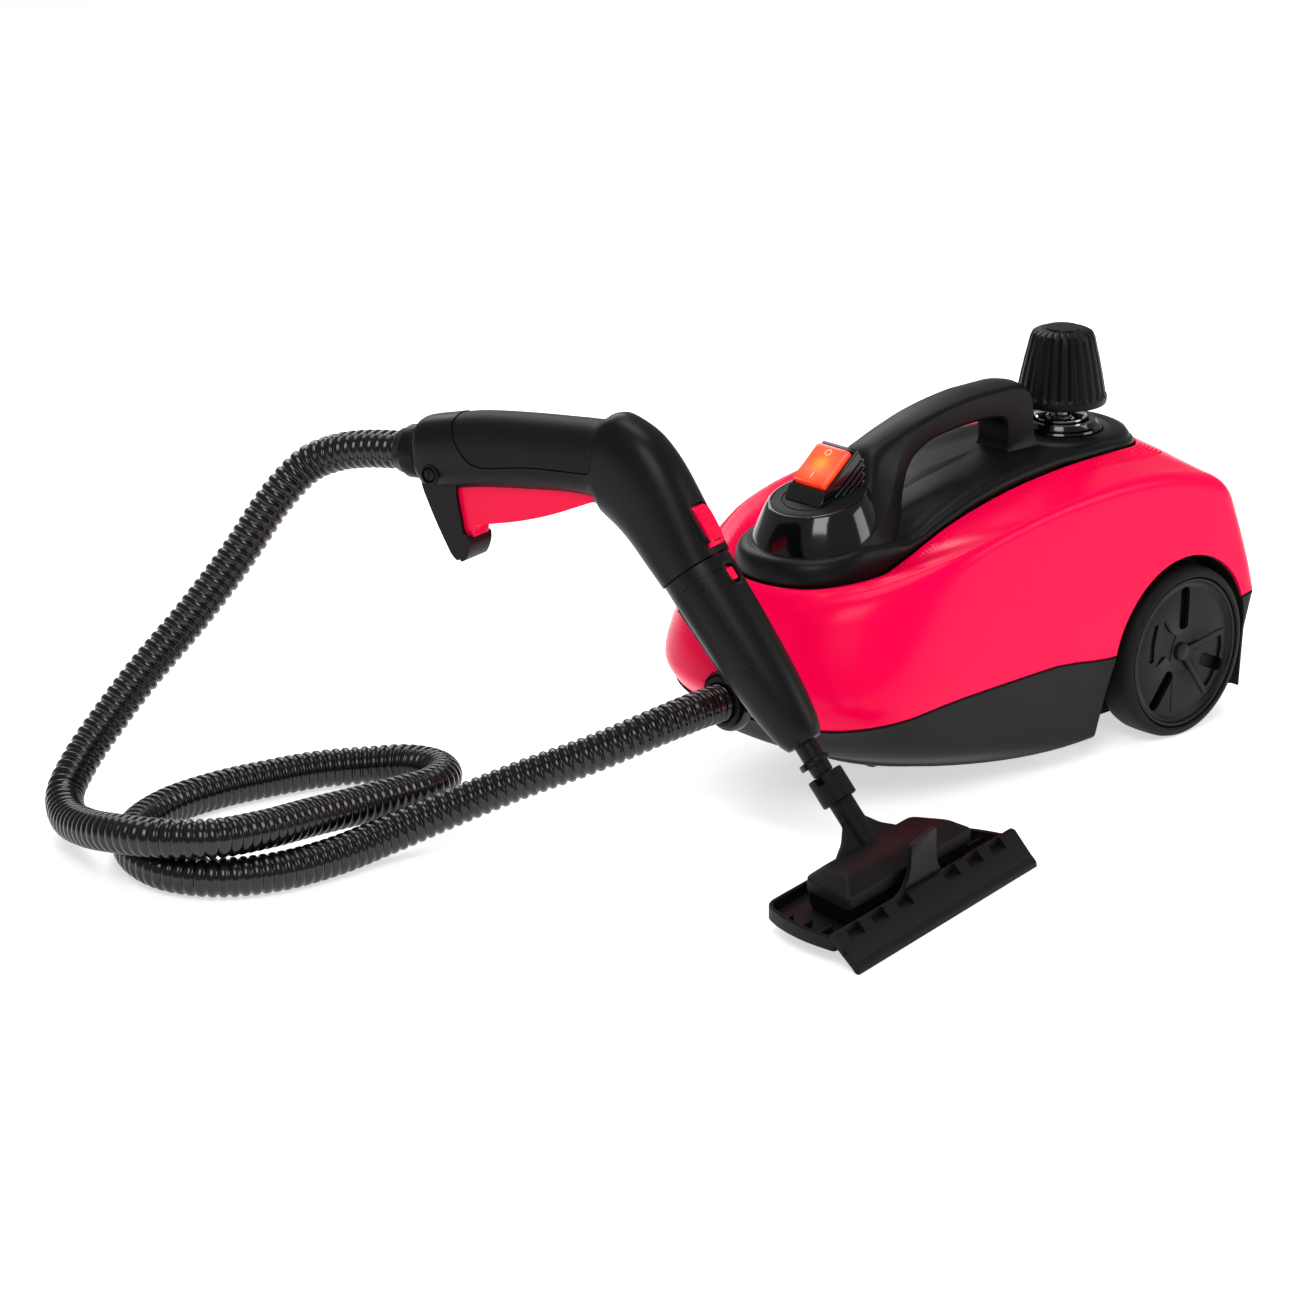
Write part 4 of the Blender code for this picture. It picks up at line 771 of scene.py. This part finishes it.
# ---------------------------------------------------------------- wheels
def wheel_look(side, body, suffix):
    """Rim with its relief and slots, hub cap and tyre."""
    place = MACHINE @ Matrix.Translation((AXLE_X, side * (WHEEL_FACE - 15), WHEEL_R))
    place = place @ Matrix.Rotation(radians(90 * -side), 4, "X")
    rim = [(47.5, 12.5), (48.5, 13.8), (50.3, 13.8), (51.1, 12.5), (51.1, -13.5), (46, -14), (45, 8.4),
           (12, 8.4), (12, -15), (4.3, -15), (4.3, 10), (12, 10.2), (14.5, 10.6), (16, 11.2), (41.5, 11.4),
           (43, 11.0), (44.5, 11.0), (46, 12.0)]
    rim = piece("rim_" + suffix, turned(rim, 128, closed=True), place, body, BLACK, ["wheel_" + suffix],
                25)

    def mark(points, radius, depth=9.7):
        return shape(extrude(rounded(points, radius, 3), depth, 20, "XY"), place)

    def spoke(angle, near, far, half):
        c, s = cos(radians(angle)), sin(radians(angle))
        corners = (near, -half), (far, -half), (far, half), (near, half)
        return [(c * u - s * v, s * u + c * v) for u, v in corners]

    def polar(r, angle):
        return (r * cos(radians(angle)), r * sin(radians(angle)))

    slots = [mark(spoke(a, near, 45, 4.5), 4.0, -20) for a, near in ((89, 15.5), (229, 16), (-25, 22))]
    fan = [polar(9, -23), polar(39, 5), polar(40.5, -6), polar(40.8, -23), polar(40.5, -40), polar(40, -51)]
    star = [(-20, 26), (-11, 15), (-5, 12), (-9, 5), (-11, -5), (-16, 0), (-27, -5.4), (-18, 6)]
    crescent = [(-25, 25), (-28.5, 11), (-28.7, -1), (-33.5, -1), (-33.5, 11), (-29.5, 24.5)]
    line = [(-10.4, -9), (-9.6, -9), (-9.6, -40), (-10.4, -40)]
    carve(rim, slots + [mark(fan, 2.0), mark(star, 1.2), mark(crescent, 1.4), mark(line, 0.1, 10.9)],
          smooth=25)
    for i, tip in enumerate((polar(41.5, 8.5), polar(42.7, -54.5))):
        run = Vector(tip) - Vector((-1, 0))
        edge = Vector((-run.y, run.x)).normalized() * 1.7
        bar = [(-1 - edge.x, -edge.y), (tip[0] - edge.x, tip[1] - edge.y), (tip[0] + edge.x, tip[1] + edge.y),
               (-1 + edge.x, edge.y)]
        piece("rim_ridge_%s_%d" % (suffix, i + 1), extrude(rounded(bar, 1.4, 4), 9.8, 12.0 + 0.05 * i, "XY",
                                                           bevel=0.6), place, body, BLACK,
              smooth=25)
    piece("rim_back_" + suffix, turned([(12.1, 5), (44.6, 5), (44.6, 4), (12.1, 4)], 96, closed=True), place,
          body, SOFT)
    cap = [(0, 12.6), (4.2, 12.5), (5.6, 12.1), (6.2, 11.2), (6.2, 9.6), (0, 9.6)]
    piece("rim_cap_" + suffix, turned(cap, 48), place, body, BLACK)
    tread = [(51.6, 14.2), (52.5, 14.9), (55.0, 14.6), (57.2, 12.8), (58.2, 9.5), (58.45, 4), (58.45, -4),
             (58.2, -9.5), (57.2, -12.8), (55.0, -14.6), (52.5, -14.9), (51.6, -14.2)]
    piece("tyre_look_" + suffix, turned(tread, 144, closed=True), place, body, RUBBER, ["tyre_" + suffix])


# ---------------------------------------------------------------- hose ends
def hose_ends():
    place = MACHINE @ Matrix.Translation((-303, 0, SOCKET_Z)) @ Matrix.Rotation(radians(-90), 4, "Y")
    socket = [(19, 6.1), (19.6, 5), (19.6, 0.4), (19.2, 0), (16, 0), (16, -20), (12.7, -20), (12.7, 4.6),
              (13.3, 6.0), (14, 6.3)]
    piece("socket_ring", turned(socket, 72, closed=True), place, "machine", GLOSS)
    lips = [(15.6, 9.4), (16.1, 8.8), (16.1, 6.6), (15.6, 6.2), (12.9, 6.2), (12.9, 8.8), (13.4, 9.4)]
    piece("socket_lip", turned(lips, 72, closed=True), place, "machine", BLACK)
    mouth = HANDSET @ Matrix.Translation((0, 387, 226.3)) @ Matrix.Rotation(radians(-97), 4, "X")
    cuff = [(13.0, 18.0), (13.9, 17.8), (14.4, 17.0), (14.9, 13.0), (16.1, 11.6), (17.0, 10.5), (17.1, 3),
            (16.6, 2.2), (16.0, 0.4), (12, 0.4), (12, -8.6), (9.3, -8.6), (9.3, 11), (12.5, 11.4)]
    piece("cuff_look", turned(cuff, 72, closed=True), mouth, "handset", GUN, ["hose_cuff"])


# ---------------------------------------------------------------- handset
GUN_SPINE = [(183.1, 186.4, 50.4, 22.4, 22.4), (188, 192.5, 51, 23.3, 22.4), (194, 200, 52, 24.5, 22.2),
             (206, 215.5, 48, 27, 21.8), (219, 230, 38, 30.5, 21.3), (230, 238.8, 24, 32.6, 20.7),
             (240, 243, 10, 33, 20.2), (246, 244.3, 5, 30, 20), (252, 244.5, 0, 24.6, 19.7),
             (262, 244.3, -3, 23.9, 19.3), (275, 243.5, -5, 23.7, 19), (305, 240.5, -6, 24.2, 18.6),
             (340, 236, -8, 24.5, 18.5), (366, 230.6, -11, 24, 18.5), (380, 227.9, -9, 23.2, 18.1),
             (385.2, 226.8, -8, 21.6, 17.4), (386.9, 226.4, -7, 18.6, 16)]
GRIP_BED = [(358, 300), (358.4, 253), (352.5, 241), (342, 229.5), (332, 228), (295, 235), (250, 238.5),
            (247, 243), (246.5, 262), (242, 280)]
TRIGGER_BAY = [(236, 206.5), (247, 209.5), (286, 200), (342, 184.5), (343, 171.5), (349, 169.5), (353, 171),
               (366, 200), (366, 228), (336, 234), (300, 238), (262, 240), (250, 236), (242, 226)]
TRIGGER = [(357, 204.8), (351.5, 174.5), (346, 177), (345, 187), (310.6, 195.4), (286, 203.8), (253.5, 218.2),
           (247.6, 217.7), (240, 213), (243, 221), (252, 228), (256, 233), (262, 233), (300, 226), (336, 219),
           (358, 214)]
GUARD = [(384.5, 220), (384, 208), (372.6, 185), (360.4, 165), (355, 161.8), (350, 163.5), (347, 169),
         (345.5, 175), (346, 181), (351, 178), (358, 210), (352, 232)]


def gun_section(y, z, heading, deep, half, shrink, seam):
    """Section across the gun, with the fine seam where its halves meet."""
    deep, half = deep - shrink, half - shrink
    angles = [pi * (i + 0.5) / 24 - pi / 2 for i in range(24)]
    side = [(half * cos(a) ** (2 / 2.35), deep * (abs(sin(a)) ** (2 / 2.35)) * (1 if sin(a) > 0 else -1))
            for a in angles]
    side = [(0.0, -deep + seam), (0.22, -deep + 0.05)] + side + [(0.22, deep - 0.05), (0.0, deep - seam)]
    loop = side + [(-x, v) for x, v in side[-2:0:-1]]
    c, s = cos(radians(heading)), sin(radians(heading))
    return [Vector((x, y - s * v, z + c * v)) for x, v in loop]


def gun_loft(shrink=0.0, seam=0.35, count=100):
    return loft([gun_section(*station, shrink, seam) for station in spine(GUN_SPINE, count)])


def gun():
    """Handset: hull over a core, soft insert, guard, trigger and lock button."""
    core = piece("gun_core", gun_loft(2.2, 0.0, 40), HANDSET, "handset", BLACK)
    lock = HANDSET @ Matrix.Translation((-15.8, 371.6, 218)) @ Matrix.Rotation(radians(-90), 4, "Y")
    carve(core, [shape(extrude(TRIGGER_BAY, -BAY_HALF, BAY_HALF), HANDSET),
                 shape(turned([(0, 6), (5.2, 6), (5.2, -9), (0, -9)], 24), lock)])
    hull = piece("gun_hull", gun_loft(), HANDSET, "handset", GUN,
                 ["gun_shell_left", "gun_shell_right", "gun_screw_1", "gun_screw_2"], smooth=32)
    bed = shape(extrude(rounded(GRIP_BED, [0, 0, 6, 6, 5, 12, 3, 3, 6, 6], 5), -40, 40), HANDSET)
    carve(hull, [bed, shape(extrude(rounded(TRIGGER_BAY, 2.5), -BAY_HALF, BAY_HALF), HANDSET),
                 shape(block((-7.1, -34, 197), (7.1, -18.5, 225.4)), LANCE)], smooth=32)
    insert = piece("grip_look", gun_loft(0.55, 0.0, 100), HANDSET, "handset", SOFT, ["grip_insert"],
                   32)
    tight = [(y - (0.6 if y > 300 else -0.6), z + (0.7 if z < 240 else 0.0)) for y, z in GRIP_BED]
    keep = shape(extrude(rounded(tight, [0, 0, 6, 6, 5, 12, 3, 3, 6, 6], 5), -40, 40), HANDSET)
    carve(insert, [keep], "INTERSECT", 32)

    guard = extrude(rounded(GUARD, [2, 20, 40, 4, 4, 4, 3, 1.5, 1.5, 3, 10, 3], 5), -11, 11, bevel=3.2,
                    segments=4)
    piece("guard", guard, HANDSET, "handset", GUN, smooth=40)
    flat_trigger = extrude(rounded(TRIGGER, [3, 4, 2.5, 3, 14, 20, 9, 3, 1.2, 6, 4, 3, 3, 6, 6, 3], 5), -8, 8,
                           bevel=1.5, segments=3)
    piece("trigger_look", flat_trigger, HANDSET, "trigger_lever", RED_TRIM, ["trigger"], 40)

    dial = [(0, 3.4), (3.6, 3.4), (4.3, 3.0), (4.7, 2.2), (4.7, -0.5), (0, -0.5)]
    button = piece("lock_look", turned(dial, 48), lock, "lock_slider", GUN, ["lock_button"])
    carve(button, [shape(block((-3.2, -0.45, 2.8), (3.2, 0.45, 6)), lock)])
    well = [(5.0, 4.2), (5.2, 3.3), (6.4, 3.1), (6.8, 1.6), (5.0, 1.0)]
    piece("lock_ring", turned(well, 48, closed=True), lock, "handset", GUN)


def beading(path, section, surface):
    """A closed band along an outline; surface places the point (x, z) + (dx, dz), v above the skin."""
    rings = []
    for i, (x, z) in enumerate(path):
        run = (Vector(path[(i + 1) % len(path)]) - Vector(path[i - 1])).normalized()
        rings.append([surface(x, z, run.y * u, -run.x * u, v) for u, v in section])
    return loft(rings, closed=True)


def latch():
    """Ridged release button in its lipped recess, and the pink catch in its oval slot."""
    place = LANCE @ Matrix.Translation((0, -17, 200))
    side = [(-8.2, -2.6), (-9.6, 4), (-10.6, 12), (-11, 19), (-9.6, 24.4), (-1.5, 24.4), (-1.5, -2.6)]
    pad = extrude(rounded(side, [1.6, 6, 6, 3, 2.4, 0.5, 0.5], 4), -6.7, 6.7, "YZ", bevel=1.4)
    piece("release_pad", pad, place, "release_lever", RED_TRIM, ["release_latch"], 40)
    for i in range(6):
        z = 1.2 + 3.6 * i
        y = along(z, [(-2.6, -8.2), (4, -9.6), (12, -10.6), (19, -11), (24, -10)])
        piece("release_rib_%d" % (i + 1), block((-5.2, y - 0.5, z - 0.7), (5.2, y + 1.2, z + 0.7), 0.42),
              place, "release_lever", RED_TRIM)
    piece("release_arm", block((-3, -2, -20), (3, 1.5, 4), 0.8), place, "release_lever", RED_TRIM)
    piece("release_nub", block((-3.3, -5.1, -26), (3.3, 0, -17.4), 1.2), place, "release_lever", RED_TRIM)
    lip = [(-8.2, 0.2), (8.2, 0.2), (8.2, 24), (5, 27), (-5, 27), (-8.2, 24)]

    def neck(x, z, dx, dz, v):
        base = along(z, [(0, -6.4), (12, -7.2), (27, -7.9)]) - 1.2 * (1 - (x / 8.2) ** 2)
        return Vector((x + dx, base + v, z + dz))

    section = [(-0.9, 1.5), (-0.9, -0.9), (-0.4, -1.4), (0.4, -1.4), (0.9, -0.9), (0.9, 1.5)]
    band = beading(rounded(lip, [5, 5, 3, 3, 3, 3], 6), section, neck)
    piece("release_lip", band, place, "handset", GUN)


ADAPTER = [(22.3, 192.6), (22.4, 191.8), (22.3, 180), (21.9, 165), (21.3, 145), (20.4, 125), (19.6, 112),
           (18.5, 100), (17.2, 90), (15.5, 80), (13.9, 74), (12.2, 70.4), (11.4, 69.0), (10.2, 68.5)]


def spun(bm, angle):
    """The same mesh, turned about the lance."""
    bmesh.ops.rotate(bm, verts=bm.verts[:], cent=(0, 0, 0), matrix=Matrix.Rotation(radians(angle), 3, "Z"))
    return bm


def adapter():
    """Tapered adapter with the catch's slot and two raised leaves, and the jet nozzle in it."""
    outer = [(r - 0.7 if 187.5 < t < 189 else r, t) for r, t in ADAPTER]
    inner = [(7.2, 68.5), (7.2, 140), (19.5, 150), (19.8, 192.6)]
    tube = piece("adapter_look", turned(outer + inner, 96, closed=True), LANCE, "handset", GUN,
                 ["adapter_tube"], smooth=30)
    slot = extrude(rounded([(-4.4, 172), (4.4, 172), (4.4, 185), (-4.4, 185)], 4.2, 5), -30, -12, "XZ")
    notches = []
    for angle in (-172, -139, -116):
        notches.append(shape(spun(block((21.4, -3.2, 183.2), (24, 3.2, 184.4)), angle), LANCE))
    carve(tube, [shape(slot, LANCE), shape(block((-4.7, -21.2, 171), (4.7, -14, 194)), LANCE)] + notches,
          smooth=30)

    rim = rounded([(-5.4, 171), (5.4, 171), (5.4, 186), (-5.4, 186)], 5.2, 8)

    def barrel(x, z, dx, dz, v):
        return Vector((x + dx, -((22.1 + v) ** 2 - (x + dx) ** 2) ** 0.5, z + dz))

    section = [(-0.9, -1.5), (-0.9, 0.6), (-0.4, 1.0), (0.4, 1.0), (0.9, 0.6), (0.9, -1.5)]
    piece("catch_rim", beading(rim, section, barrel), LANCE, "handset", GUN)

    half, low, high = 3.75, 124, 178
    middle = (low + high) / 2
    outline = rounded([(-half, low), (half, low), (half, high), (-half, high)], [3.6, 3.6, 0.6, 0.6], 6)
    for centre in (206, 118):
        rings = []
        for height, shrink in ((-1.0, 0.0), (0.45, 0.0), (0.75, 0.35), (0.85, 0.9)):
            level = []
            for u, t in outline:
                u2, t2 = u * (1 - shrink / half), middle + (t - middle) * (1 - shrink / (high - middle))
                r = along(-t2, [(-t_, r_) for r_, t_ in ADAPTER]) + height
                a = radians(centre) + u2 / 21
                level.append(Vector((r * cos(a), r * sin(a), t2)))
            rings.append(level)
        piece("rib_%d" % centre, loft(rings), LANCE, "handset", GUN)

    jet = [(7.0, 120), (7.2, 69), (7.2, 58.2), (8.6, 57.6), (8.8, 57), (8.8, 54.6), (8.4, 54), (6.9, 53.6),
           (6.6, 47.4), (5.6, 47), (5.6, 36.4), (5.2, 36), (3, 36), (3, 120)]
    piece("jet_look", turned(jet, 64, closed=True), LANCE, "handset", BLACK, ["jet_nozzle"])
    lug = block((-3.2, -10.6, 53.6), (3.2, -6, 57.8), 0.5)
    piece("jet_lug", spun(lug, -118), LANCE, "handset", BLACK)


# ---------------------------------------------------------------- brush head
def inset(points, amount):
    """The polygon with every side moved inwards."""
    made = []
    for i, here in enumerate(points):
        a, b, c = Vector(points[i - 1]), Vector(here), Vector(points[(i + 1) % len(points)])
        before, after = [Vector((-(q - p).y, (q - p).x)).normalized() for p, q in ((a, b), (b, c))]
        half = (before + after).normalized()
        made.append(tuple(b + half * amount / max(0.3, half.dot(before))))
    return made


def brush():
    """Bayonet collar, stem with its web, cover and base, tray, tongue, and the blade with its lip."""
    collar = [(10.6, 28), (11.4, 28.5), (11.4, 45.8), (10.9, 46.5), (7.4, 46.5), (6.4, 45.5), (5.9, 40),
              (5.9, 33), (0, 33), (0, 28)]
    ringed = piece("bayonet", turned(collar, 72), LANCE, "brush", HEAD)
    carve(ringed, [shape(spun(block((5, -2.6, 41), (14, 2.6, 50)), -168), LANCE)])
    piece("stem_look", turned([(0, 29), (7.8, 29), (7.8, -8), (0, -8)], 48), LANCE, "brush", HEAD)
    web = [(-7.4, 25), (7.4, 25), (9.5, 14), (20, 5), (34, -2), (34, -7), (-34, -7), (-34, -2), (-20, 5),
           (-9.5, 14)]
    piece("stem_web", extrude(rounded(web, 3, 4), -1.7, 1.7, "XZ", bevel=0.5), LANCE, "brush", HEAD)

    plan = [(-72, 26), (72, 26), (56, 67), (-56, 67)]

    def stack(levels):
        return loft([[Vector((x, y, z)) for x, y in rounded(inset(plan, amount), radius, 3)]
                     for amount, z, radius in levels])

    levels = [(0.6, 22.2, 6), (0.0, 22.8, 6), (0.0, 29.2, 6), (0.4, 30.2, 6), (8.0, 36.4, 4), (9.4, 37.2, 4),
              (14, 37.8, 4)]
    piece("cover_look", stack(levels), HANDSET, "brush", HEAD, ["brush_cover"], smooth=20)
    levels = [(6, 8.9, 3), (3.4, 10.4, 3), (2.2, 14, 3), (1.6, 21.2, 3), (2.4, 21.9, 3)]
    piece("base_look", stack(levels), HANDSET, "brush", BLACK, ["brush_base"], smooth=20)

    tray = [(-101, 17), (101, 17), (98, 40), (90, 62), (78, 80), (-78, 80), (-90, 62), (-98, 40)]
    radii = [3, 3, 10, 10, 8, 8, 10, 10]
    walls = (0, 9.4), (0, 17.2), (0.5, 17.9), (1.7, 17.9), (2.6, 17.2), (2.6, 10.8)
    rings = [[Vector((x, y, z)) for x, y in rounded(inset(tray, amount), radii, 4)] for amount, z in walls]
    piece("tray_look", loft(rings), HANDSET, "brush", HEAD, ["squeegee_frame"], smooth=30)
    for side, name in ((-1, "left"), (1, "right")):
        for i, y in enumerate((20.6, 33.5, 47.8, 61)):
            low, high = sorted((side * 77.5, side * (97.6 - 0.18 * max(0, y - 30) - (4 if y > 55 else 0))))
            piece("tray_rib_%s_%d" % (name, i + 1), block((low, y - 0.8, 10), (high, y + 0.8, 14.8), 0.3),
                  HANDSET, "brush", HEAD)

    blade = [(1.5, 6.0), (14.6, 20.6), (15.4, 21.2), (18.1, 21.2), (18.8, 20.6), (18.8, 16.8), (4.5, 3.5)]
    holder = piece("blade_holder", extrude(rounded(blade, 0.7, 2), -BLADE_HALF, BLADE_HALF, bevel=0.5),
                   HANDSET, "brush", HEAD, smooth=30)
    carve(holder, [shape(block((x - 7.5, 8, 15.6), (x + 7.5, 16.9, 24)), HANDSET)
                   for x in (-85, -58.5, -30.5, 24, 51, 77.5)], smooth=30)
    lip = [(1.9, 6.5), (-0.9, 3.4), (-1.7, 0.3), (-0.2, 0.05), (0.9, 0.3), (4.7, 3.9)]
    piece("blade_lip", extrude(rounded(lip, 0.3, 2), -BLADE_HALF, BLADE_HALF, bevel=0.3), HANDSET, "brush",
          RUBBER, ["squeegee_lip"], 30)
    step = [(6.2, 10.7), (9.4, 14.3), (10.2, 13.9), (10.2, 8.6)]
    piece("blade_step", extrude(rounded(step, 0.3, 2), -BLADE_HALF, BLADE_HALF, bevel=0.3), HANDSET, "brush",
          HEAD)
    flap = [(-38, 16), (34, 16), (20, 20), (14.5, 30), (14, 51), (-14, 47), (-14.5, 32), (-20, 22)]
    tongue = extrude(rounded(flap, [1, 1, 8, 8, 2, 2, 10, 10], 4), 18.2, 21.0, "XZ", bevel=0.6)
    piece("tray_tongue", tongue, HANDSET, "brush", HEAD)


INNER_LOOKS = {"boiler_lower": ALLOY, "boiler_upper": ALLOY, "boiler_bracket": STEEL,
               "heating_element": STEEL, "thermostat": CREAM, "thermal_fuse": CREAM, "steam_valve": BRASS,
               "boiler_pipe": BRASS, "outlet_pipe": RUBBER, "terminal_block": CREAM, "cord_gland": BLACK,
               "hose_socket": BLACK, "rear_axle": STEEL, "caster_fork": BLACK, "caster_pin": STEEL,
               "caster_wheel": RUBBER, "cap_seal": RUBBER, "cap_spring": STEEL, "trigger_pin": STEEL,
               "trigger_spring": STEEL, "microswitch": BLACK, "gun_pipe": BRASS, "latch_pin": STEEL,
               "outlet_spigot": BLACK, "outlet_seal": RUBBER}


def carried_nodes():
    """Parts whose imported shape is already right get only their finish."""
    for name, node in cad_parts.items():
        look = INNER_LOOKS.get(name, STEEL if "screw" in name else None)
        if look:
            for index in range(len(node.material_slots)):
                node.material_slots[index].material = look


set_stage()
hose()
shells()
top_panel()
dome()
carry_handle()
switch()
filler()
wheel_look(-1, "rear_wheel_right", "right")
wheel_look(1, "rear_wheel_left", "left")
hose_ends()
gun()
latch()
adapter()
brush()
knurls(bpy.data.objects["shell_red"])
carried_nodes()
bpy.context.view_layer.update()
